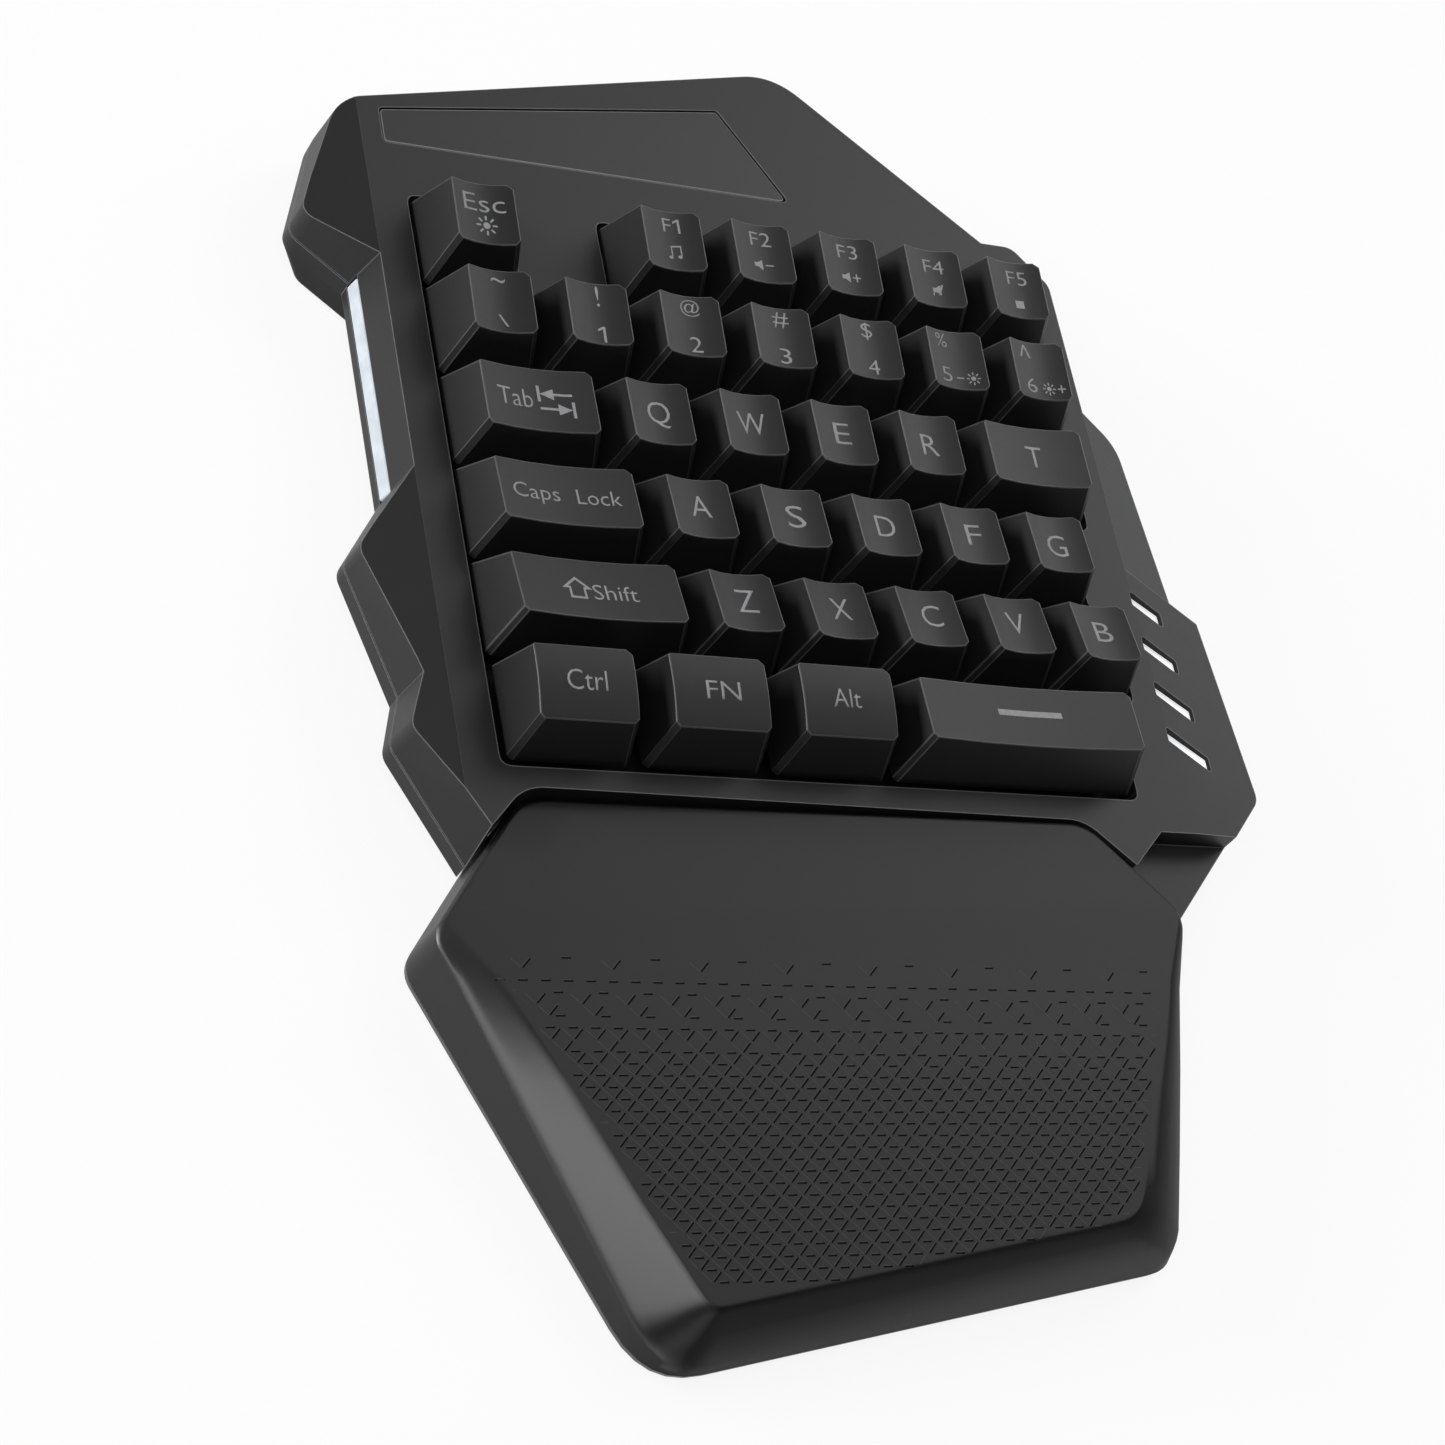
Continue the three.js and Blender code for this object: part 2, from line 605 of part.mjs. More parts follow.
function addScrew(name, at, underside, length) {
  const head = post(at, screw_head_radius, underside, head_top(underside));
  const shank = post(at, screw_shank_radius, underside, underside + length);
  const [across, depth] = [screw_head_radius, underside + cross_depth];
  const slot = centredBox(at, across, cross_width, underside - overrun, depth);
  const cross_slot = centredBox(at, cross_width, across, underside - overrun, depth);
  addPiece(name, cut(join(head, shank), slot, cross_slot), plated_steel);
}

// A foot is stuck into a shallow pocket of the underside that it is below
const footBox = (at, margin, low, high) =>
  centredBox(at, foot_length + 2 * margin, foot_width + 2 * margin, low, high);
const footPocket = (at, underside) =>
  footBox(at, clearance, underside - overrun, underside + foot_sink + clearance);

function topCover() {
  const shell = skin([
    atHeight(rounded(seam_corners, outer_corner_steps), top_cover_bottom),
    atHeight(rounded(deck_corners, outer_corner_steps), deck_height),
  ]);
  const low_hollow = prism(rounded(inset(seam_corners, cover_wall)), 0, facet_ceiling);
  const high_hollow = prism(rounded(inset(core_corners, cover_wall)), 0, deck_underside);
  const left_facets = above(
    [[far_left, far_front], [waist_x, far_front], [waist_x, far_rear], [far_left, far_rear]],
    (x) => deck_height - facet_fall_share * (waist_x - x));
  const right_facet = above(
    [[deck_right_x, facet_line_y], [far_right, facetLineAt(far_right)], [far_right, far_rear],
      [deck_right_x, far_rear]],
    (x) => deck_height - facet_fall_share * (x - deck_right_x));
  const wing_slope = above(
    [[deck_right_x, far_front], [far_right, far_front], [far_right, facet_line_y],
      [deck_right_x, facet_line_y]],
    (x) => deck_height - wing_fall_share * (x - deck_right_x));
  const shelf_cut = above(
    [shelf_point, [shelf_point[0], far_front], [far_right, far_front], [far_right, shelf_corner[1]],
      shelf_corner],
    () => deck_height - shelf_drop);
  const rim_bottom = guide_plate_top + clearance;
  const rim = prism(rounded(inset(well_corners, -well_rim_wall)), rim_bottom, deck_height - overrun);
  const bosses = screw_places.map((at) => upperBoss(at, cover_underside, screw_length, deck_underside));
  const well = prism(rounded(well_corners), 0, deck_height + overrun);
  const badge_recess = prism(rounded(inset(badge_corners, -clearance)), badge_bottom - clearance,
    deck_height + overrun);
  const slot_cuts = slots.map((slot) =>
    prism(rounded(slot), deck_underside - overrun, deck_height + overrun));
  const hole_radius = gland_radius + clearance;
  const gland_hole = throughRearWall(
    new THREE.CylinderGeometry(hole_radius, hole_radius, 4 * cover_wall, round_sides));
  const walls = cut(shell, low_hollow, high_hollow, left_facets, right_facet, wing_slope, shelf_cut);
  return cut(join(walls, rim, ...bosses), well, badge_recess, bar_pocket, gland_hole, ...slot_cuts);
}

addPiece("top_cover", topCover(), black_shell);

// Bottom cover, a tray with a wall round the stack of sheets below the keys

const rim_bottom = seam_height - bottom_cover_band;
const edge_undercuts = {
  front_left: recess_undercut, recess_left: recess_undercut, recess_right: recess_undercut,
  left_wing_tip: -wing_flare,
};
const undercuts = corner_names.map((name) => edge_undercuts[name] ?? undercut);
const tray_corners = [
  [-well_margin, -well_front_margin], [well_right, -well_front_margin], [well_right, well_rear],
  [-well_margin, well_rear],
];
const sheet_corners = inset(tray_corners, clearance).map(([x, y]) => [x, y, small_radius]);
const tray_top = guide_plate_bottom - clearance;

const board_place = place(board_shares);
const board_bottom = floor_top + board_post_height + clearance;
const board_top = board_bottom + circuit_thickness;
const board_front = board_place[1] - board_depth / 2;
const tail_low_x = board_place[0] - tail_width / 2;
const tail_high_x = board_place[0] + tail_width / 2;

const tongueBox = (share, margin, rear, front) => centredBox(
  [share * field_width, (rear + front) / 2], tongue_width + 2 * margin, rear - front,
  tongue_bottom - margin, tongue_bottom + tongue_thickness + margin);

function bottomCover() {
  const outside = skin([
    atHeight(rounded(inset(seam_corners, undercuts), outer_corner_steps), cover_underside),
    atHeight(rounded(seam_corners, outer_corner_steps), rim_bottom),
    atHeight(rounded(seam_corners, outer_corner_steps), seam_height),
  ]);
  const hollow_edges = undercuts.map((distance) => distance + cover_wall);
  const hollow = skin([
    atHeight(rounded(inset(seam_corners, hollow_edges)), floor_top),
    atHeight(rounded(inset(seam_corners, cover_wall)), rim_bottom + floor_thickness),
    atHeight(rounded(inset(seam_corners, cover_wall)), seam_height + overrun),
  ]);
  const tray = prism(inset(tray_corners, -tray_wall), cover_underside + floor_thickness / 2, tray_top);
  const tray_space = prism(tray_corners, floor_top, tray_top + overrun);
  const post_reach = [board_length / 2 - board_post_inset, board_depth / 2 - board_post_inset];
  const board_posts = [[-1, -1], [1, -1], [1, 1], [-1, 1]].map(([side, end]) => centredBox(
    [board_place[0] + side * post_reach[0], board_place[1] + end * post_reach[1]], board_post_width,
    board_post_width, cover_underside + floor_thickness / 2, floor_top + board_post_height));
  const bosses = screw_places.map((at) =>
    post(at, cover_boss_radius, cover_underside, boss_top(cover_underside)));
  const screw_holes = screw_places.map((at) => lowerScrewHole(at, cover_underside));
  const foot_pockets = Object.values(foot_shares).map((at) => footPocket(place(at), cover_underside));
  const tongue_holes = tongue_shares.map((share) =>
    tongueBox(share, clearance, overrun - well_front_margin, recess_y - 2 * overrun));
  const tail_notch = box(tail_low_x - clearance, tail_high_x + clearance, well_rear - overrun,
    well_rear + tray_wall + overrun, floor_top, membrane_bottom + membrane_thickness + clearance);
  const body = join(cut(outside, hollow), tray, ...board_posts, ...bosses);
  return cut(body, tray_space, bar_pocket, tail_notch, ...tongue_holes, ...screw_holes, ...foot_pockets);
}

addPiece("bottom_cover", bottomCover(), black_shell);

// Badge plate, the light bar and its strip of lights, and the light guide below the slots

addPiece("badge_plate", prism(rounded(badge_corners), badge_bottom, badge_top), black_plate);

function lightBar() {
  const [front, rear] = [bar_front_y + clearance, bar_rear_y - clearance];
  return skin([bar_bottom, bar_top].map((z) => {
    const face = waistFaceAt(z);
    return atHeight([[face, front], [bar_back, front], [bar_back, rear], [face, rear]], z);
  }));
}

addPiece("light_bar", lightBar(), milky_diffuser);

function ledStrip() {
  const led_front = bar_back + clearance;
  const strip_front = led_front + led_thickness;
  const strip_end = cover_wall + clearance;
  const strip = box(strip_front, strip_front + strip_thickness, bar_front_y + strip_end,
    bar_rear_y - strip_end, bar_bottom - strip_skirt, bar_top);
  const pitch = (bar_rear_y - bar_front_y) / led_count;
  const lights = Array.from({ length: led_count }, (_, i) => centredBox(
    [(led_front + strip_front + strip_thickness) / 2, bar_front_y + (i + 1 / 2) * pitch],
    led_thickness + strip_thickness, led_width, bar_bottom + bar_height / 2 - led_width / 2, bar_top));
  return join(strip, ...lights);
}

addPiece("led_strip", ledStrip(), circuit_laminate);

function ventLightGuide() {
  const [first, last] = [slots[0], slots[slot_count - 1]];
  const plate_corners = inset([last[0], last[1], first[2], first[3]], -slot_guide_margin);
  const plate_top = deck_underside - clearance;
  const plate = prism(plate_corners, plate_top - slot_guide_thickness, plate_top);
  const ribs = slots.map((slot) => prism(rounded(inset(slot, slot_rib_gap)),
    plate_top - slot_guide_thickness / 2, deck_height - slot_guide_sink));
  return join(plate, ...ribs);
}

addPiece("vent_light_guide", ventLightGuide(), milky_diffuser);

// Stack below the keys: guide plate, rubber domes, switch membrane and steel plate

function guidePlate() {
  const plate = prism(inset(tray_corners, -tray_wall), guide_plate_bottom, guide_plate_top);
  const sleeve_width = guide_hole_width + 2 * guide_sleeve_wall;
  const sleeve_top = guide_plate_top + guide_sleeve_height;
  const sleeves = keys.map(({ centre }) =>
    centredBox(centre, sleeve_width, sleeve_width, guide_plate_bottom, sleeve_top));
  const low = guide_plate_bottom - overrun;
  const holes = keys.map(({ centre }) =>
    centredBox(centre, guide_hole_width, guide_hole_width, low, sleeve_top + overrun));
  const post_holes = keys.flatMap(({ side_posts }) => side_posts.map((at) =>
    centredBox(at, post_hole_width, post_hole_width, low, guide_plate_top + overrun)));
  return cut(join(plate, ...sleeves), ...holes, ...post_holes);
}

addPiece("key_guide_plate", guidePlate(), black_guide);

function domeSheet() {
  const sheet_top = dome_sheet_bottom + dome_sheet_thickness;
  const sheet = prism(sheet_corners, dome_sheet_bottom, sheet_top);
  const frustum = ([x, y], low_radius, high_radius, low, high) => {
    const cone = new THREE.CylinderGeometry(high_radius, low_radius, high - low, dome_sides);
    return solid(cone.rotateX(Math.PI / 2).translate(x, y, (low + high) / 2));
  };
  const domes = keys.map(({ centre }) =>
    frustum(centre, dome_base_radius, dome_top_radius, dome_sheet_bottom, dome_top));
  const hollows = keys.map(({ centre }) => frustum(centre, dome_base_radius - dome_wall,
    dome_top_radius - dome_wall, dome_sheet_bottom - dome_wall, dome_top - 2 * dome_wall));
  return cut(join(sheet, ...domes), ...hollows);
}

addPiece("dome_sheet", domeSheet(), clear_silicone);

const membrane_top = membrane_bottom + membrane_thickness;
const tail = box(tail_low_x, tail_high_x, well_rear - small_radius, board_front + tail_lap,
  membrane_bottom, membrane_top);
addPiece("membrane_sheet", join(prism(sheet_corners, membrane_bottom, membrane_top), tail), printed_film);
addPiece("support_plate",
  prism(rounded(sheet_corners), support_plate_bottom, support_plate_bottom + support_plate_thickness),
  plated_steel);

// Control board and cable inlet

function controlBoard() {
  const [x, y] = board_place;
  const board = centredBox([x, y], board_length, board_depth, board_bottom, board_top);
  const middle = board_bottom + circuit_thickness / 2;
  const chip = centredBox([x - board_length / 4, y], chip_size, chip_size, middle, board_top + chip_height);
  const socket = centredBox([x + board_length / 4, y + (board_depth - socket_depth) / 2], socket_length,
    socket_depth, middle, board_top + socket_height);
  return join(board, chip, socket);
}

addPiece("control_board", controlBoard(), circuit_laminate);

function cableGland() {
  const flange_start = -cover_wall - clearance - gland_flange_thickness;
  const flange_end = -cover_wall - clearance;
  const profile = [
    [gland_bore_radius, flange_start], [gland_flange_radius, flange_start],
    [gland_flange_radius, flange_end], [gland_radius, flange_end], [gland_radius, gland_lip],
    [gland_bore_radius, gland_lip], [gland_bore_radius, flange_start],
  ].map(([radius, along]) => new THREE.Vector2(radius, along));
  return throughRearWall(new THREE.LatheGeometry(profile, round_sides));
}

addPiece("cable_gland", cableGland(), black_rubber);

// Palm rest

const palm_rear = recess_y - palm_gap;
const palmPlace = ([x, y]) => [x * field_width, palm_rear - y * palm_length];
const palm_base_top = palm_underside + palm_base_thickness;
const palm_top_bottom = palm_base_top + clearance;
const palm_screw_place = palmPlace(palm_screw_share);
const palm_post_places = palm_post_shares.map(palmPlace);

// The rear edges of the palm rest follow the recess in the housing, the left one with a ledge
const behindRecess = (name) => {
  const [x, y, radius] = deckCorner(name);
  return [x, y - palm_gap, radius];
};
const recess_left_corner = behindRecess("recess_left");
const recess_right_corner = behindRecess("recess_right");
const palm_wall_corners = [
  recess_left_corner,
  ...palm_corner_shares.map(({ wall, wall_radius }) => [...palmPlace(wall), wall_radius]),
  recess_right_corner,
];
const palm_top_corners = [
  [recess_left_corner[0] + palm_ledge_width, recess_left_corner[1] - palm_edge, broad_radius],
  ...palm_corner_shares.map(({ top, top_radius }) => [...palmPlace(top), top_radius]),
  [recess_right_corner[0], recess_right_corner[1] - palm_edge, broad_radius],
];
const palm_toe_corners = palm_corner_shares.filter(({ toe }) => toe).map(({ wall }) => palmPlace(wall));
const palmOutline = (corners) => rounded(corners, palm_corner_steps);

// Height from one column of the profile at a point of the plan
function palmHeight(x, y, column) {
  const [[x0, y0], [x1, y1]] = palm_toe_corners;
  const front_y = THREE.MathUtils.mapLinear(x, x0, x1, y0, y1);
  const back = THREE.MathUtils.clamp((y - front_y) / palm_length, 0, 1);
  const next = Math.max(1, palm_profile_shares.findIndex((row) => row.back >= back));
  const [low, high] = palm_profile_shares.slice(next - 1, next + 1);
  return palm_height * THREE.MathUtils.mapLinear(back, low.back, high.back, low[column], high[column]);
}

const shareAcross = (x) => THREE.MathUtils.clamp(x / field_width, 0, 1);
const palmCrest = ([x, y]) =>
  [x, y, THREE.MathUtils.lerp(palmHeight(x, y, "left"), palmHeight(x, y, "right"), shareAcross(x))];
const palmCrown = ([x, y]) =>
  [x, y, palmHeight(x, y, "crown") + palmHeight(x, y, "rise") * x / field_width];

// Rings of the band between the two, from the crest up to the crown
function palmBand(crest, crown) {
  return Array.from({ length: palm_roll_steps + 1 }, (_, step) => {
    const t = step / palm_roll_steps;
    return crest.map((low, i) => {
      const point = new THREE.Vector3(...low).lerp(new THREE.Vector3(...crown[i]), t);
      const bulge = 4 * t * (1 - t) * palm_roll_share * shareAcross(low[0]) ** 2;
      point.z += bulge * (crown[i][2] - low[2]);
      return point.toArray();
    });
  });
}

// Rungs across the palm rest, so that its lid follows the curve from the rear to the front
function ladder(count) {
  const quads = Array.from({ length: count / 2 - 1 }, (_, i) => [i, i + 1, count - 2 - i, count - 1 - i]);
  return quads.flatMap(([a, b, c, d]) => [[a, b, c], [a, c, d]]);
}

// Ledge beside the housing's front left corner, where the palm rest stays lower than its top face
function palmLedge() {
  const [tip, corner] = ["front_left", "recess_left"].map((name) => new THREE.Vector2(...behindRecess(name)));
  const along = corner.clone().sub(tip).normalize();
  const inward = new THREE.Vector2(along.y, -along.x);
  const reach = tip.distanceTo(corner) - palm_ledge_width;
  const corners = [[0, -overrun], [0, palm_ledge_width], [reach, palm_ledge_width], [reach, -overrun]];
  const outline = corners.map(([forward, side]) =>
    tip.clone().addScaledVector(along, forward).addScaledVector(inward, side).toArray());
  return prism(outline, palm_height - palm_ledge_drop, deck_height + overrun);
}

function palmRestTop() {
  const last = palm_wall_corners.length - 1;
  const leans = palm_wall_corners.map((_, i) =>
    [0, last - 1, last].includes(i) ? palm_rear_lean : palm_wall_lean);
  const crest = palmOutline(inset(palm_wall_corners, leans)).map(palmCrest);
  const crown = palmOutline(palm_top_corners).map(palmCrown);
  const rings = [atHeight(palmOutline(palm_wall_corners), palm_top_bottom), ...palmBand(crest, crown)];
  const outside = cut(skin(rings, ladder(crest.length)), palmLedge());
  const hollow = prism(inset(palm_wall_corners, palm_hollow_inset), 0, palm_hollow_ceiling);
  const socket_radius = palm_post_radius + clearance;
  const sockets = palm_post_places.map((at) => cut(
    post(at, socket_radius + palm_socket_wall, palm_top_bottom, palm_hollow_ceiling + overrun / 2),
    post(at, socket_radius, 0, palm_base_top + palm_post_height + clearance)));
  const boss = upperBoss(palm_screw_place, palm_underside, palm_screw_length, palm_hollow_ceiling);
  const tongues = tongue_shares.map((share) =>
    tongueBox(share, 0, recess_y + tongue_reach, palm_rear - tongue_root));
  return join(cut(outside, hollow), boss, ...sockets, ...tongues);
}

addPiece("palm_rest_top", palmRestTop(), black_shell);

function palmRestBase() {
  const plate = skin([
    atHeight(palmOutline(inset(palm_wall_corners, palm_base_tuck)), palm_underside),
    atHeight(palmOutline(palm_wall_corners), palm_base_top),
  ]);
  const posts = palm_post_places.map((at) =>
    post(at, palm_post_radius, palm_underside, palm_base_top + palm_post_height));
  const boss = post(palm_screw_place, cover_boss_radius, palm_underside, boss_top(palm_underside));
  const pockets = Object.values(palm_foot_shares).map((at) => footPocket(palmPlace(at), palm_underside));
  const body = join(plate, boss, ...posts);
  return cut(body, lowerScrewHole(palm_screw_place, palm_underside), ...pockets);
}

addPiece("palm_rest_base", palmRestBase(), black_shell);

screw_places.forEach((at, i) => addScrew(`case_screw_${i + 1}`, at, cover_underside, screw_length));
addScrew("palm_screw", palm_screw_place, palm_underside, palm_screw_length);
Object.entries(foot_shares).forEach(([name, at]) =>
  addPiece(name, footBox(place(at), 0, 0, cover_underside + foot_sink), black_rubber));
Object.entries(palm_foot_shares).forEach(([name, at]) =>
  addPiece(name, footBox(palmPlace(at), 0, 0, palm_underside + foot_sink), black_rubber));

// Every piece is moved so that the origin is the middle of the footprint, on the desk
const bounds = new THREE.Box3().setFromObject(keypad);
const middle = bounds.getCenter(new THREE.Vector3());
keypad.children.forEach((piece) => piece.position.set(-middle.x, -middle.y, -bounds.min.z));

export default keypad;
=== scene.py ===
import math

import bmesh
import bpy
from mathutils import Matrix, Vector
from mathutils.bvhtree import BVHTree


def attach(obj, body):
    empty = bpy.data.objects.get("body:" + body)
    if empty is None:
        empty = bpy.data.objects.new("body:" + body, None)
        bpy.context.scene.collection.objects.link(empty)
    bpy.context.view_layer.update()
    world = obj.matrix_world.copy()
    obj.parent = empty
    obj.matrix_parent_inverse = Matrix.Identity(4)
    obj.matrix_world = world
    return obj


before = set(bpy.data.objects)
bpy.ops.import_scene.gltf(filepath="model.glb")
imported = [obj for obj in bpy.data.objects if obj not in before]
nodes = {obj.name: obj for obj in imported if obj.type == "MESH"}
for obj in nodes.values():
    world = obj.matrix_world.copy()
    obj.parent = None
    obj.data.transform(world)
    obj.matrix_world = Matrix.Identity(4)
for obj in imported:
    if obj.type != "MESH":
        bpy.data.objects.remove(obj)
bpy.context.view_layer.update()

mm = 0.001
scene = bpy.context.scene
scene.view_settings.view_transform = "Standard"

# Camera of the photograph: from the front left and above, a little rolled, with a long lens.
camera = bpy.data.objects.new("camera", bpy.data.cameras.new("camera"))
camera.data.sensor_width = 36
camera.data.lens = 80.86
camera.data.clip_start = 0.05
camera.location = (-0.293145, -0.26455, 0.45146)
camera.rotation_euler = [math.radians(angle) for angle in (31.34, -26.292, -11.387)]
scene.collection.objects.link(camera)
scene.camera = camera


# Studio: a white lacquered board, whose far edge curves up, with soft lamps over it. The board looks
# white and keeps part of its own shading, so that the keypad still has its soft contact shadow.
def linear(hex_colour):
    shares = [int(hex_colour[i:i + 2], 16) / 255 for i in (1, 3, 5)]
    return [s / 12.92 if s <= 0.04045 else ((s + 0.055) / 1.055) ** 2.4 for s in shares] + [1]


def add_node(tree, kind, settings=(), **inputs):
    node = tree.nodes.new("ShaderNode" + kind)
    for name, value in dict(settings).items():
        setattr(node, name, value)
    for name, value in inputs.items():
        key = int(name[3:]) if name.startswith("in_") else name.replace("_", " ")
        socket = node.inputs[key]
        if isinstance(value, bpy.types.NodeSocket):
            tree.links.new(value, socket)
        else:
            socket.default_value = value
    return node


def new_material(name):
    material = bpy.data.materials.new(name)
    material.use_nodes = True
    material.node_tree.nodes.clear()
    return material, material.node_tree


def white_lacquered_board():
    white_share = 0.88
    material, tree = new_material("white lacquered board")
    rays = add_node(tree, "LightPath").outputs
    seen = add_node(tree, "Math", {"operation": "MAXIMUM"}, in_0=rays["Is Camera Ray"],
                    in_1=rays["Is Glossy Ray"])
    seen = add_node(tree, "Math", {"operation": "MAXIMUM"}, in_0=seen.outputs[0],
                    in_1=rays["Is Transmission Ray"])
    share = add_node(tree, "Math", {"operation": "MULTIPLY"}, in_0=seen.outputs[0],
                     in_1=white_share)
    lit = add_node(tree, "BsdfDiffuse", Color=linear("#f2f2f2"))
    white = add_node(tree, "Emission", Color=linear("#ffffff"), Strength=1.0)
    mixed = add_node(tree, "MixShader", in_0=share.outputs[0], in_1=lit.outputs[0], in_2=white.outputs[0])
    add_node(tree, "OutputMaterial", Surface=mixed.outputs[0])
    return material


board_radius, curve_radius, wall_height = 5.0, 0.6, 1.2
board_sides, curve_step = 96, 15
board_mesh = bmesh.new()
board_profile = [(0.0, 0.0), (board_radius, 0.0)]
board_profile += [(board_radius + curve_radius * math.sin(t), curve_radius * (1 - math.cos(t)))
                  for t in (math.radians(a) for a in range(curve_step, 91, curve_step))]
board_profile.append((board_radius + curve_radius, wall_height))
board_verts = [board_mesh.verts.new((r, 0, z)) for r, z in board_profile]
board_edges = [board_mesh.edges.new(pair) for pair in zip(board_verts, board_verts[1:])]
bmesh.ops.spin(board_mesh, geom=board_verts + board_edges, axis=(0, 0, 1), cent=(0, 0, 0),
               angle=2 * math.pi, steps=board_sides, use_merge=True)
bmesh.ops.remove_doubles(board_mesh, verts=board_mesh.verts, dist=mm)
board_data = bpy.data.meshes.new("board")
board_mesh.to_mesh(board_data)
board_mesh.free()
board_data.shade_smooth()
board = bpy.data.objects.new("board", board_data)
board.data.materials.append(white_lacquered_board())
scene.collection.objects.link(board)


def softbox(name, azimuth, elevation, distance, width, height, power):
    lamp = bpy.data.lights.new(name, "AREA")
    lamp.shape = "RECTANGLE"
    lamp.size, lamp.size_y, lamp.energy = width, height, power
    holder = bpy.data.objects.new(name, lamp)
    a, e = math.radians(azimuth), math.radians(elevation)
    away = Vector((math.sin(a) * math.cos(e), math.cos(a) * math.cos(e), math.sin(e)))
    holder.location = away * distance
    holder.rotation_euler = away.to_track_quat("Z", "Y").to_euler()
    scene.collection.objects.link(holder)


# Each softbox is seen in one group of faces; together they give about the plain level
softbox("softbox_rear", azimuth=20, elevation=42, distance=1.6, width=0.8, height=0.6, power=2.8)
softbox("softbox_rear_right", azimuth=50, elevation=42, distance=1.6, width=0.6, height=0.6, power=5.6)
softbox("softbox_right_low", azimuth=64, elevation=24, distance=1.6, width=0.7, height=0.5, power=4.5)
softbox("softbox_right", azimuth=95, elevation=55, distance=1.6, width=0.9, height=0.7, power=2.5)
softbox("softbox_left_high", azimuth=-110, elevation=60, distance=1.5, width=1.3, height=1.2, power=10)
softbox("softbox_left_low", azimuth=-70, elevation=18, distance=1.5, width=0.9, height=0.35, power=18)
world_strength = 0.02
world = bpy.data.worlds.new("studio")
world.use_nodes = True
world.node_tree.nodes["Background"].inputs["Color"].default_value = linear("#ffffff")
world.node_tree.nodes["Background"].inputs["Strength"].default_value = world_strength
scene.world = world


# Bottom and top cover: two shells of black ABS, injection moulded in spark-eroded tools, which leave a
# fine satin grain. The bottom one is screwed up to the top one. Their edges are rounded a little, as the
# edges of a moulding are. The thin pale lines along them are painted highlights: a paler colour on the
# bevel faces and in a narrow rim of the shell's colour.
def soften(node, width, segments=3, angle=12, edge=-1):
    """Merges the facets of a node's solid and rounds its edges, without changing the solid itself."""
    weld_distance, flat_angle = 0.002 * mm, 0.6
    piece = nodes[node]
    if "custom_normal" in piece.data.attributes:
        piece.data.attributes.remove(piece.data.attributes["custom_normal"])
    piece.data.shade_smooth()
    weld = piece.modifiers.new("weld", "WELD")
    weld.merge_threshold = weld_distance
    flat = piece.modifiers.new("flat", "DECIMATE")
    flat.decimate_type = "DISSOLVE"
    flat.angle_limit = math.radians(flat_angle)
    flat.delimit = {"MATERIAL"}
    bevel = piece.modifiers.new("bevel", "BEVEL")
    bevel.width, bevel.segments = width, segments
    bevel.limit_method, bevel.angle_limit = "ANGLE", math.radians(angle)
    bevel.miter_outer = "MITER_ARC"
    # Given a slot, the bevel faces take its material: a paler colour that paints a highlight along the edges.
    bevel.material = edge
    normals = piece.modifiers.new("normals", "WEIGHTED_NORMAL")
    normals.keep_sharp = False
    return piece


def paint_edge_highlight(tree, base, colour):
    """Paints a highlight: turns a colour paler where the surface turns sharply within a narrow width of an
    edge.
    """
    edge_highlight_width = 0.3 * mm
    around = add_node(tree, "Bevel", {"samples": 8}, Radius=edge_highlight_width)
    flat = add_node(tree, "NewGeometry").outputs["True Normal"]
    turn = add_node(tree, "VectorMath", {"operation": "DOT_PRODUCT"}, in_0=around.outputs[0], in_1=flat)
    share = add_node(tree, "MapRange", Value=turn.outputs["Value"], From_Min=0.995, From_Max=0.96)
    return add_node(tree, "Mix", {"data_type": "RGBA"}, in_0=share.outputs["Result"], in_6=base,
                    in_7=linear(colour)).outputs[2]


def moulded(name, colour, roughness, grain_width, grain_depth, specular=0.5, edge_highlight=""):
    """A moulded plastic or rubber: fine grain in the surface, faint broad clouds, perhaps a painted highlight
    along its edges.
    """
    cloud_width, cloud_share, gloss_share = 38 * mm, 0.06, 0.1
    material, tree = new_material(name)
    place = add_node(tree, "TexCoord").outputs["Object"]
    grains = add_node(tree, "TexNoise", Vector=place, Scale=1 / grain_width, Detail=2.0, Roughness=0.6)
    cloud = add_node(tree, "TexNoise", Vector=place, Scale=1 / cloud_width, Detail=3.0, Roughness=0.5)
    tone = add_node(tree, "ValToRGB", Fac=cloud.outputs["Fac"])
    for end, position, side in zip(tone.color_ramp.elements, (0.3, 0.7), (-1, 1)):
        end.position = position
        end.color = [c * (1 + side * cloud_share) for c in linear(colour)[:3]] + [1]
    gloss = add_node(tree, "MapRange", Value=grains.outputs["Fac"], From_Min=0.3, From_Max=0.7,
                     To_Min=roughness * (1 - gloss_share), To_Max=roughness * (1 + gloss_share))
    bump = add_node(tree, "Bump", Strength=1.0, Distance=grain_depth, Height=grains.outputs["Fac"])
    base = paint_edge_highlight(tree, tone.outputs["Color"], edge_highlight) if edge_highlight else tone.outputs["Color"]
    shader = add_node(tree, "BsdfPrincipled", Base_Color=base, IOR=1.53, Roughness=gloss.outputs["Result"],
                      Specular_IOR_Level=specular, Normal=bump.outputs["Normal"])
    add_node(tree, "OutputMaterial", Surface=shader.outputs[0])
    return material


def dress(node, *materials):
    nodes[node].data.materials.clear()
    for material in materials:
        nodes[node].data.materials.append(material)
    return nodes[node]


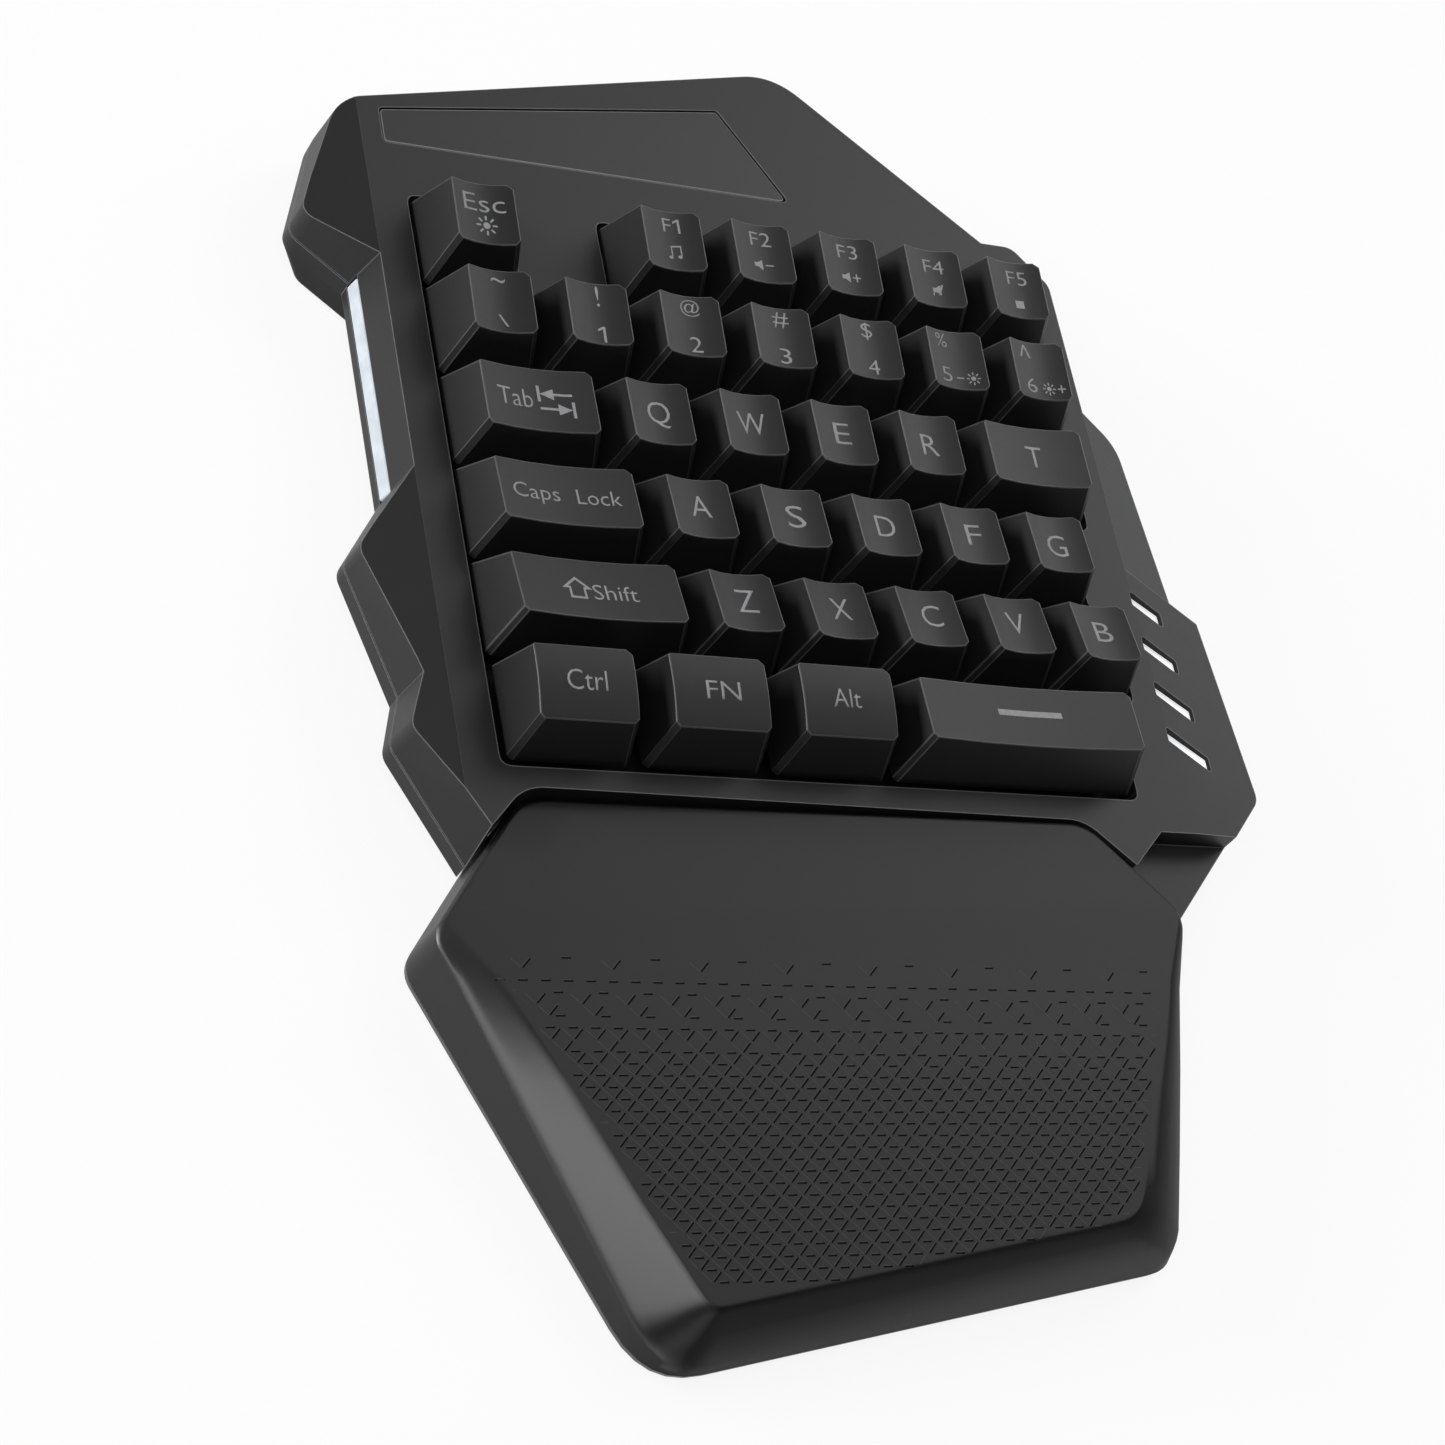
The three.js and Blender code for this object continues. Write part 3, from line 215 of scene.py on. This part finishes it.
# The grain of the tool is about 0.1 mm wide, and is drawn at 0.25 mm so that it shows as a soft sheen.
# The paler rim of shell_abs and the paler bevel material below are painted highlights on the edges.
shell_abs = moulded("spark-grained black ABS", "#1b1b1c", 0.5, 0.25 * mm, 0.006 * mm, specular=0.3,
                    edge_highlight="#6a6a6c")
highlight_edge_shell_abs = moulded("painted edge highlight of the black ABS shells", "#868688", 0.35, 0.25 * mm, 0.002 * mm,
                           specular=0.6)
for cover in ("bottom_cover", "top_cover"):
    dress(cover, shell_abs, highlight_edge_shell_abs)
    soften(cover, 0.3 * mm, edge=1)

# Badge plate: a bare inlay of smoother black ABS, glued into a shallow recess of the deck. It is a
# little glossier than the deck, and its narrow edge is drawn as a thin pale line, a painted highlight in
# the paler material of its bevel faces.
badge_abs = moulded("smooth black ABS of the badge plate", "#1b1b1c", 0.45, 0.25 * mm, 0.002 * mm,
                    specular=0.3)
dress("badge_plate", badge_abs, highlight_edge_shell_abs)
soften("badge_plate", 0.2 * mm, edge=1)


# Light bar and light guide of the slots: milky polycarbonate, moulded with a polished face. They look
# white from the light that wanders about inside them. The guide in the slots also shines faintly: an
# emission, painted light that brightens it though no lamp lights it.
def milky_polycarbonate(name, dark, pale, specular, painted_emission_strength):
    haze_width = 3 * mm
    material, tree = new_material(name)
    place = add_node(tree, "TexCoord").outputs["Object"]
    haze = add_node(tree, "TexNoise", Vector=place, Scale=1 / haze_width, Detail=2.0, Roughness=0.5)
    tone = add_node(tree, "ValToRGB", Fac=haze.outputs["Fac"])
    for end, position, colour in zip(tone.color_ramp.elements, (0.35, 0.65), (dark, pale)):
        end.position, end.color = position, linear(colour)
    gloss = add_node(tree, "MapRange", Value=haze.outputs["Fac"], From_Min=0.3, From_Max=0.7,
                     To_Min=0.4, To_Max=0.5)
    shader = add_node(tree, "BsdfPrincipled", Base_Color=tone.outputs["Color"], IOR=1.58,
                      Roughness=gloss.outputs["Result"], Specular_IOR_Level=specular, Subsurface_Weight=0.35,
                      Subsurface_Radius=(0.9, 0.95, 1.0), Subsurface_Scale=0.8 * mm,
                      Emission_Color=linear("#ffffff"), Emission_Strength=painted_emission_strength)
    add_node(tree, "OutputMaterial", Surface=shader.outputs[0])
    return material


dress("light_bar", milky_polycarbonate("milky polycarbonate of the light bar", "#c0c7ce", "#ccd3da",
                                       specular=0.1, painted_emission_strength=0.0))
soften("light_bar", 0.5 * mm, angle=30)
dress("vent_light_guide", milky_polycarbonate("milky polycarbonate of the slots, with painted emission", "#eef0f4", "#f8f9fb",
                                              specular=0.5, painted_emission_strength=0.4))
soften("vent_light_guide", 0.15 * mm, angle=30)

# Keycaps: black ABS, moulded with a satin face, hollow, with a plunger that slides in the guide plate.
# Their edges are drawn paler, a painted highlight in the material of their bevel faces.
cap_abs = moulded("satin black ABS of the keycaps", "#171718", 0.5, 0.25 * mm, 0.004 * mm, specular=0.3)
highlight_edge_cap_abs = moulded("painted edge highlight of the keycap ABS", "#404042", 0.4, 0.25 * mm, 0.002 * mm, specular=0.5)
key_names = [name for name in nodes if name.startswith("key_") and name != "key_guide_plate"]
for name in key_names:
    dress(name, cap_abs, highlight_edge_cap_abs)
    soften(name, 0.2 * mm, angle=24, edge=1)


# Legends: grey lacquer, printed on the finished caps. Each lies on the dish of its cap as a very thin
# film. They are the plain letters, figures and signs that any keyboard of this layout has.
def printed_lacquer():
    patch_width = 0.6 * mm
    material, tree = new_material("grey printing lacquer")
    place = add_node(tree, "TexCoord").outputs["Object"]
    cover = add_node(tree, "TexNoise", Vector=place, Scale=1 / patch_width, Detail=2.0, Roughness=0.6)
    tone = add_node(tree, "ValToRGB", Fac=cover.outputs["Fac"])
    for end, position, colour in zip(tone.color_ramp.elements, (0.3, 0.7), ("#7c7c7e", "#8c8c8e")):
        end.position, end.color = position, linear(colour)
    shader = add_node(tree, "BsdfPrincipled", Base_Color=tone.outputs["Color"], IOR=1.5, Roughness=0.55)
    add_node(tree, "OutputMaterial", Surface=shader.outputs[0])
    return material


ray_start = 100 * mm


def drape(name, mesh, node, material, body, rise, thickness):
    """Lays flat faces, drawn in plan, on the upper side of a node as a thin closed film."""
    surface = BVHTree.FromObject(nodes[node], bpy.context.evaluated_depsgraph_get())
    for vertex in mesh.verts:
        spot = surface.ray_cast(Vector((vertex.co.x, vertex.co.y, ray_start)), Vector((0, 0, -1)))[0]
        vertex.co.z = spot.z + rise
    bmesh.ops.recalc_face_normals(mesh, faces=mesh.faces)
    for face in mesh.faces:
        if face.normal.z < 0:
            face.normal_flip()
    data = bpy.data.meshes.new(name)
    mesh.to_mesh(data)
    mesh.free()
    data.materials.append(material)
    piece = bpy.data.objects.new(name, data)
    scene.collection.objects.link(piece)
    film = piece.modifiers.new("film", "SOLIDIFY")
    film.thickness, film.offset = thickness, -1
    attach(piece, body)
    return piece


def slice_up(mesh, step):
    """Cuts the faces of a flat drawing into small squares, so that it can follow a dish or a crown."""
    cut_distance = 1e-7
    for way in (Vector((1, 0, 0)), Vector((0, 1, 0))):
        places = [vertex.co.dot(way) for vertex in mesh.verts]
        for i in range(1, math.ceil((max(places) - min(places)) / step)):
            whole = mesh.verts[:] + mesh.edges[:] + mesh.faces[:]
            bmesh.ops.bisect_plane(mesh, geom=whole, dist=cut_distance, plane_no=way,
                                   plane_co=way * (min(places) + i * step))


def polygon(mesh, points, x, y):
    """A flat face in plan; its points are in millimetres from x, y."""
    mesh.faces.new([mesh.verts.new(((x + u) * mm, (y + v) * mm, 0)) for u, v in points])


def bar(mesh, x, y, left, low, right, high):
    polygon(mesh, [(left, low), (right, low), (right, high), (left, high)], x, y)


def write(mesh, words, x, y, width, height):
    """Draws words in the plain built-in font, fitted into a box whose lower middle is at x, y."""
    curve = bpy.data.curves.new("words", "FONT")
    curve.body, curve.resolution_u, curve.offset = words, 3, glyph_offset
    holder = bpy.data.objects.new("words", curve)
    scene.collection.objects.link(holder)
    bpy.context.view_layer.update()
    glyphs = bpy.data.meshes.new_from_object(holder.evaluated_get(bpy.context.evaluated_depsgraph_get()))
    bpy.data.objects.remove(holder)
    xs = [vertex.co.x for vertex in glyphs.vertices]
    ys = [vertex.co.y for vertex in glyphs.vertices]
    foot = 0 if words.isalnum() else min(ys)
    across, up = width / (max(xs) - min(xs)), height / (max(ys) - foot)
    middle = (max(xs) + min(xs)) / 2
    for vertex in glyphs.vertices:
        vertex.co = ((x + (vertex.co.x - middle) * across) * mm, (y + (vertex.co.y - foot) * up) * mm, 0)
    mesh.from_mesh(glyphs)
    bpy.data.meshes.remove(glyphs)
    bpy.data.curves.remove(curve)


def figure_one(mesh, x, y, height):
    """The figure one with its flag; x is the middle of its upright."""
    line_share, flag_share = 0.15, 0.3
    half_line, flag = line_share / 2 * height, flag_share * height
    bar(mesh, x, y, -half_line, 0, half_line, height)
    polygon(mesh, [(-half_line - flag, height - flag * 1.05), (-half_line, height - flag * 0.5),
                   (-half_line, height), (-half_line - flag, height - flag * 0.6)], x, y)


def ring(sides):
    turns = [2 * math.pi * i / sides for i in range(sides)]
    return [(math.cos(t), math.sin(t)) for t in turns]


def sun(mesh, x, y, size):
    rays, disk_share, ray_start_share, ray_width_share = 8, 0.34, 0.55, 0.09
    polygon(mesh, [(size * disk_share * u, size * disk_share * v) for u, v in ring(16)], x, y)
    for i in range(rays):
        t = 2 * math.pi * i / rays
        along, across = Vector((math.cos(t), math.sin(t))), Vector((-math.sin(t), math.cos(t)))
        corners = [along * r * size + across * side * ray_width_share * size
                   for r, side in ((ray_start_share, -1), (1, -1), (1, 1), (ray_start_share, 1))]
        polygon(mesh, [tuple(corner) for corner in corners], x, y)


def speaker(mesh, x, y, sign):
    bar(mesh, x, y, -2.05, -0.45, -1.35, 0.45)
    polygon(mesh, [(-1.35, -0.45), (-0.25, -1.15), (-0.25, 1.15), (-1.35, 0.45)], x, y)
    if sign:
        bar(mesh, x, y, 0.35, -0.14, 2.0, 0.14)
    if sign == "+":
        bar(mesh, x, y, 1.03, -0.9, 1.31, -0.14)
        bar(mesh, x, y, 1.03, 0.14, 1.31, 0.9)


def muted_speaker(mesh, x, y):
    speaker(mesh, x + 0.95, y, "")
    polygon(mesh, [(0.1, -1.0), (0.35, -1.2), (1.35, 1.15), (1.1, 1.3)], x, y)
    polygon(mesh, [(-1.3, -1.3), (-1.05, -1.35), (-0.75, -0.55), (-1.0, -0.55)], x, y)


def two_notes(mesh, x, y):
    for left, low in ((-1.35, -1.45), (0.55, -1.2)):
        polygon(mesh, [(left + 0.4 + 0.45 * u, low + 0.32 + 0.33 * v) for u, v in ring(12)], x, y)
        bar(mesh, x, y, left + 0.62, low + 0.62, left + 0.86, low + 2.5)
    polygon(mesh, [(-0.73, 1.05), (1.41, 1.3), (1.41, 1.62), (-0.73, 1.37)], x, y)


def tab_arrow(mesh, x, y, side):
    """An arrow that points to the left (side -1) or to the right (side 1), against a stop."""
    stop, tip, neck, tail = (side * u for u in (3.35, 2.8, 0.2, -3.3))
    bar(mesh, x, y, min(stop, tip), -1.65, max(stop, tip), 1.65)
    polygon(mesh, [(tip, 0), (neck, -1.15), (neck, 1.15)], x, y)
    bar(mesh, x, y, min(neck, tail), -0.24, max(neck, tail), 0.24)


def shift_arrow(mesh, x, y):
    outer = [(0, 2.3), (2.9, -0.2), (1.6, -0.2), (1.6, -2.3), (-1.6, -2.3), (-1.6, -0.2), (-2.9, -0.2)]
    inner = [(0, 1.72), (1.75, 0.2), (1.2, 0.2), (1.2, -1.88), (-1.2, -1.88), (-1.2, 0.2), (-1.75, 0.2)]
    for i in range(len(outer)):
        j = (i + 1) % len(outer)
        polygon(mesh, [outer[i], outer[j], inner[j], inner[i]], x, y)


glyph_offset = -0.006
# Words of each key: text, middle, foot, width and height in millimetres, as they stand in the photograph
key_words = {
    "esc": [("Esc", -59.61, 78.04, 8.18, 3.72)],
    "f1": [("F", -22.22, 79.44, 1.7, 3.03)], "f2": [("F2", -2.45, 79.31, 4.43, 3.05)],
    "f3": [("F3", 16.56, 79.32, 4.38, 3.0)], "f4": [("F4", 35.92, 78.77, 4.49, 3.04)],
    "f5": [("F5", 55.22, 78.86, 4.43, 3.09)],
    "backquote": [("~", -59.78, 62.15, 2.78, 1.0), ("\\", -59.66, 53.28, 1.83, 2.28)],
    "1": [("!", -40.16, 59.93, 0.55, 4.24)],
    "2": [("@", -21.3, 60.37, 3.96, 3.54), ("2", -21.14, 52.84, 2.4, 3.23)],
    "3": [("#", -2.27, 60.49, 3.41, 3.33), ("3", -2.4, 52.84, 2.4, 3.23)],
    "4": [("$", 16.45, 60.42, 2.33, 3.7), ("4", 16.67, 52.9, 2.4, 3.2)],
    "5": [("%", 32.96, 60.95, 2.55, 2.99), ("5", 32.87, 53.38, 2.35, 3.16)],
    "6": [("^", 52.05, 61.05, 2.7, 2.78), ("6", 52.26, 53.31, 2.4, 3.16)],
    "tab": [("Tab", -59.57, 37.25, 6.89, 3.66)],
    "q": [("Q", -31.29, 36.95, 4.52, 4.6)], "w": [("W", -12.25, 36.88, 5.73, 4.6)],
    "e": [("E", 6.9, 36.98, 3.4, 4.6)], "r": [("R", 25.93, 36.7, 3.57, 4.6)],
    "t": [("T", 49.45, 36.69, 3.54, 4.6)],
    "caps_lock": [("Caps", -58.65, 18.33, 9.1, 3.05), ("Lock", -46.62, 18.18, 8.28, 3.03)],
    "a": [("A", -26.36, 17.95, 3.95, 4.6)], "s": [("S", -6.95, 17.75, 3.75, 4.8)],
    "d": [("D", 11.92, 17.65, 4.0, 4.63)], "f": [("F", 31.1, 17.67, 3.3, 4.63)],
    "g": [("G", 49.47, 17.05, 4.29, 4.8)],
    "shift": [("Shift", -47.03, -1.26, 8.47, 3.18)],
    "z": [("Z", -21.21, -1.45, 4.0, 5.0)], "x": [("X", -2.03, -1.27, 3.82, 4.72)],
    "c": [("C", 17.1, -1.03, 4.1, 4.77)], "v": [("V", 35.43, -1.08, 3.86, 4.73)],
    "b": [("B", 54.67, -1.27, 3.8, 4.48)],
    "ctrl": [("Ctrl", -56.65, -20.16, 7.48, 3.66)], "fn": [("FN", -30.75, -20.21, 6.65, 3.34)],
    "alt": [("Alt", -6.23, -20.06, 5.54, 3.45)],
}
lacquer = printed_lacquer()
for key in [name[len("key_"):] for name in key_names]:
    drawing = bmesh.new()
    for words, x, y, width, height in key_words.get(key, ()):
        write(drawing, words, x, y, width, height)
    if key == "esc":
        sun(drawing, -59.52, 75.22, 2.05)
    elif key == "f1":
        figure_one(drawing, -19.78, 79.44, 3.03)
        two_notes(drawing, -21.37, 75.16)
    elif key == "1":
        figure_one(drawing, -39.8, 52.5, 3.25)
    elif key in ("f2", "f3"):
        speaker(drawing, -2.52 if key == "f2" else 16.57, 75.15, "-" if key == "f2" else "+")
    elif key == "f4":
        muted_speaker(drawing, 36.0, 75.11)
    elif key == "f5":
        bar(drawing, 54.84, 74.41, -0.95, -0.85, 0.95, 0.85)
    elif key == "5":
        sun(drawing, 38.7, 54.55, 1.4)
        bar(drawing, 35.9, 54.55, -0.75, -0.14, 0.75, 0.14)
    elif key == "6":
        sun(drawing, 56.2, 54.55, 1.4)
        bar(drawing, 58.8, 54.55, -0.8, -0.14, 0.8, 0.14)
        bar(drawing, 58.8, 54.55, -0.14, 0.14, 0.14, 0.85)
        bar(drawing, 58.8, 54.55, -0.14, -0.85, 0.14, -0.14)
    elif key == "tab":
        tab_arrow(drawing, -51.72, 40.45, -1)
        tab_arrow(drawing, -51.52, 37.39, 1)
    elif key == "shift":
        shift_arrow(drawing, -54.26, 0.92)
    elif key == "space":
        bar(drawing, 33.09, -18.03, -6.85, -0.6, 6.85, 0.6)
    slice_up(drawing, 0.5 * mm)
    drape("legend_" + key, drawing, "key_" + key, lacquer, "key_" + key,
          rise=0.02 * mm, thickness=0.05 * mm)


# Palm rest: a top and a base of the same black ABS as the covers. The top is moulded in one piece with
# a satin face, a band along its left edge from a polished part of the tool, which mirrors the studio,
# and a duller band in front. The way the surface turns says where each of them is.
def palm_abs():
    grain_width, grain_depth, crest_radius, band_radius = 0.25 * mm, 0.004 * mm, 1.0 * mm, 2.8 * mm
    flat_turn, tilted_turn, wall_turn, band_turn, front_turn, left_turn = 0.99, 0.95, 0.4, 0.55, -0.08, -0.34
    material, tree = new_material("black ABS of the palm rest, satin and polished")
    place = add_node(tree, "TexCoord").outputs["Object"]
    grains = add_node(tree, "TexNoise", Vector=place, Scale=1 / grain_width, Detail=2.0, Roughness=0.6)
    broad = add_node(tree, "Bevel", {"samples": 8}, Radius=band_radius).outputs[0]
    narrow = add_node(tree, "Bevel", {"samples": 8}, Radius=crest_radius).outputs[0]
    upright = add_node(tree, "SeparateXYZ", in_0=narrow).outputs["Z"]
    across = add_node(tree, "SeparateXYZ", in_0=broad).outputs["X"]
    off_face = add_node(tree, "MapRange", Value=upright, From_Min=flat_turn, From_Max=tilted_turn).outputs[0]
    off_wall = add_node(tree, "MapRange", Value=upright, From_Min=wall_turn, From_Max=band_turn).outputs[0]
    band = add_node(tree, "Math", {"operation": "MULTIPLY"}, in_0=off_face, in_1=off_wall).outputs[0]
    left = add_node(tree, "MapRange", Value=across, From_Min=front_turn, From_Max=left_turn).outputs[0]
    polish = add_node(tree, "Math", {"operation": "MULTIPLY"}, in_0=band, in_1=left).outputs[0]
    dull = add_node(tree, "Math", {"operation": "SUBTRACT"}, in_0=band, in_1=polish).outputs[0]
    tone = add_node(tree, "Mix", {"data_type": "RGBA"}, in_0=band, in_6=linear("#1b1b1c"),
                    in_7=linear("#111112")).outputs[2]
    gloss = add_node(tree, "MapRange", Value=polish, To_Min=0.5, To_Max=0.33).outputs[0]
    grainy = add_node(tree, "MapRange", Value=grains.outputs["Fac"], From_Min=0.3, From_Max=0.7,
                      To_Min=0.92, To_Max=1.08).outputs[0]
    gloss = add_node(tree, "Math", {"operation": "MULTIPLY"}, in_0=gloss, in_1=grainy).outputs[0]
    mirror = add_node(tree, "MapRange", Value=polish, To_Min=0.3, To_Max=1.0).outputs[0]
    mirror = add_node(tree, "Math", {"operation": "MULTIPLY_ADD"}, in_0=dull, in_1=-0.18, in_2=mirror)
    plain = add_node(tree, "NewGeometry").outputs["Normal"]
    turned = add_node(tree, "Mix", {"data_type": "VECTOR"}, in_0=band, in_4=plain, in_5=broad).outputs[1]
    bump = add_node(tree, "Bump", Strength=1.0, Distance=grain_depth, Height=grains.outputs["Fac"],
                    Normal=turned)
    shader = add_node(tree, "BsdfPrincipled", Base_Color=tone, IOR=1.53, Roughness=gloss,
                      Specular_IOR_Level=mirror.outputs[0], Normal=bump.outputs["Normal"])
    add_node(tree, "OutputMaterial", Surface=shader.outputs[0])
    return material


dress("palm_rest_top", palm_abs())
soften("palm_rest_top", 0.5 * mm, segments=4, angle=20)
base_abs = moulded("satin black ABS of the palm rest base", "#3a3a3c", 0.4, 0.25 * mm, 0.004 * mm)
dress("palm_rest_base", base_abs)
soften("palm_rest_base", 0.2 * mm)


# Lattice of the palm rest: a relief of small triangles, moulded into its face, dense in front and
# thinner towards the keys. It is drawn as flat strokes of colour on the face: the dark strokes are painted
# shade where its edges face away from the light, the pale strokes painted highlights where they face it.
def painted_light_line(name, colour):
    return moulded(name, colour, 0.7, 0.25 * mm, 0.004 * mm, specular=0.06)


# Rows run from the rear forward. Sizes in millimetres, the two slopes as shares
lattice_rear, lattice_row, lattice_pitch, lattice_rows = -63.43, 2.054, 4.06, 28
lattice_start, lattice_shear, lattice_shear_row, lattice_fall = 9.6, 0.13, 12, 0.0085
first_column, last_column = -22, 15
half = lattice_pitch / 2
foot_half, side_gap, apex_gap, pale_shift, face_edge = 0.85, 0.15, 0.25, 0.22, 1.2
pale_end, pale_left, pale_up = 0.5, 0.18, 0.15
dark_width = 0.31
pale_width = dark_width / 2
# For each of the rear rows: every how many marks it has a foot and sides, and from which mark on
thin_rows = [(4, 0, 2), (0, 4, 0), (1, 0, 0), (2, 0, 1), (0, 2, 1), (2, 2, 1), (1, 0, 0), (0, 1, 0),
             (1, 2, 0), (2, 1, 0)]
painted_shade_lines, painted_highlight_lines = bmesh.new(), bmesh.new()
palm_surface = BVHTree.FromObject(nodes["palm_rest_top"], bpy.context.evaluated_depsgraph_get())


def on_face(x, y):
    flat_turn = 0.985
    normal = palm_surface.ray_cast(Vector((x * mm, y * mm, ray_start)), Vector((0, 0, -1)))[1]
    return normal is not None and normal.z > flat_turn


def stroke(mesh, x, y, start, end, width):
    """One narrow face between two points from the middle of a mark's foot, if it is on the palm face."""
    if not all(on_face(x + u + edge, y + v) for u, v in (start, end) for edge in (-face_edge, face_edge)):
        return
    start, end = Vector(start), Vector(end)
    across = (end - start).orthogonal().normalized() * width / 2
    polygon(mesh, [tuple(p) for p in (start - across, end - across, end + across, start + across)], x, y)


for row in range(lattice_rows):
    feet, sides, first = thin_rows[row] if row < len(thin_rows) else (1, 1, 0)
    for column in range(first_column, last_column + 1):
        x = lattice_start + (column + row % 2 / 2) * lattice_pitch - lattice_shear * (row - lattice_shear_row)
        y = lattice_rear - row * lattice_row - lattice_fall * x
        if feet and (column + first) % feet == 0:
            stroke(painted_shade_lines, x, y, (-foot_half, 0), (foot_half, 0), dark_width)
            stroke(painted_highlight_lines, x, y, (-foot_half, pale_shift), (pale_end, pale_shift), pale_width)
        if sides and (column + first) % sides == 0:
            low, high = (half - side_gap, side_gap), (apex_gap, lattice_row - apex_gap)
            stroke(painted_shade_lines, x, y, (-low[0], low[1]), (-high[0], high[1]), dark_width)
            stroke(painted_highlight_lines, x - pale_left, y + pale_up, (-low[0], low[1]), (-high[0], high[1]), pale_width)
            stroke(painted_highlight_lines, x - lattice_pitch, y, high, low, pale_width)
# The dark strokes are painted shade and the pale strokes painted highlights, both thin films on the face.
for name, drawing, colour in (("palm_lattice_dark", painted_shade_lines, "#060607"),
                              ("palm_lattice_pale", painted_highlight_lines, "#444446")):
    painted_light_abs = painted_light_line("black ABS, " + name.split("_")[-1] + " painted on the relief", colour)
    drape(name, drawing, "palm_rest_top", painted_light_abs, "palm_rest", rise=0.012 * mm,
          thickness=0.04 * mm)

# Guide plate: moulded in acetal, which slides well, with a sleeve for each plunger. It is drawn black as
# painted shade, so that it shows only as a shadow between the keys.
dress("key_guide_plate", moulded("acetal, black as painted shade", "#121213", 0.5, 0.5 * mm, 0.003 * mm, specular=0.3))
soften("key_guide_plate", 0.15 * mm, segments=1, angle=40)

# Rubber domes: one sheet of translucent silicone, compression moulded, with a dome under each key.
dress("dome_sheet", moulded("translucent silicone", "#c4c7c3", 0.6, 0.4 * mm, 0.004 * mm))


# Membrane: a printed polyester film with contact pads, and a tail that plugs into the board. Below it
# lies the support plate of zinc-plated sheet steel, which has a faint spangle.
def printed_polyester():
    track_pitch = 11 * mm
    material, tree = new_material("printed polyester film")
    place = add_node(tree, "TexCoord").outputs["Object"]
    tracks = add_node(tree, "TexWave", {"bands_direction": "DIAGONAL"}, Vector=place, Scale=1 / track_pitch,
                      Distortion=1.5, Detail=0.0)
    tone = add_node(tree, "ValToRGB", Fac=tracks.outputs["Fac"])
    for end, position, colour in zip(tone.color_ramp.elements, (0.48, 0.52), ("#c3c8b8", "#8f9488")):
        end.position, end.color = position, linear(colour)
    shader = add_node(tree, "BsdfPrincipled", Base_Color=tone.outputs["Color"], IOR=1.57, Roughness=0.35)
    add_node(tree, "OutputMaterial", Surface=shader.outputs[0])
    return material


def plated_steel():
    spangle_width = 1.6 * mm
    material, tree = new_material("zinc-plated steel")
    place = add_node(tree, "TexCoord").outputs["Object"]
    spangle = add_node(tree, "TexVoronoi", Vector=place, Scale=1 / spangle_width)
    tone = add_node(tree, "ValToRGB", Fac=spangle.outputs["Color"])
    for end, colour in zip(tone.color_ramp.elements, ("#9a9da0", "#b4b7ba")):
        end.color = linear(colour)
    gloss = add_node(tree, "MapRange", Value=spangle.outputs["Distance"], To_Min=0.28, To_Max=0.42)
    shader = add_node(tree, "BsdfPrincipled", Base_Color=tone.outputs["Color"], Metallic=1.0,
                      Roughness=gloss.outputs["Result"])
    add_node(tree, "OutputMaterial", Surface=shader.outputs[0])
    return material


zinc_steel = plated_steel()
dress("membrane_sheet", printed_polyester())
dress("support_plate", zinc_steel)


# Control board and the strip of lights: glass laminate with a green solder mask, over copper tracks
# that show through it a little paler.
def solder_masked_laminate():
    track_pitch = 9 * mm
    material, tree = new_material("solder-masked glass laminate")
    place = add_node(tree, "TexCoord").outputs["Object"]
    tracks = add_node(tree, "TexBrick", Vector=place, Scale=1 / track_pitch, Mortar_Size=0.04,
                      Color1=linear("#1a5434"), Color2=linear("#1f5d3b"), Mortar=linear("#2f7a4c"))
    shader = add_node(tree, "BsdfPrincipled", Base_Color=tracks.outputs["Color"], IOR=1.5, Roughness=0.35)
    add_node(tree, "OutputMaterial", Surface=shader.outputs[0])
    return material


laminate = solder_masked_laminate()
dress("control_board", laminate)
dress("led_strip", laminate)

# Cable inlet: a sleeve of black rubber, clamped in the rear wall. The six feet are of the same matt
# rubber, cut as pads and stuck in shallow pockets.
rubber = moulded("black rubber", "#161617", 0.8, 0.35 * mm, 0.008 * mm, specular=0.3)
dress("cable_gland", rubber)
soften("cable_gland", 0.2 * mm, angle=40)
for name in nodes:
    if "foot_" in name:
        dress(name, rubber)
        soften(name, 0.25 * mm, angle=30)

# Screws: five cross-head screws of zinc-plated steel, four in the housing and one in the palm rest.
for name in nodes:
    if "screw" in name:
        dress(name, zinc_steel)
        soften(name, 0.1 * mm, segments=2, angle=40)
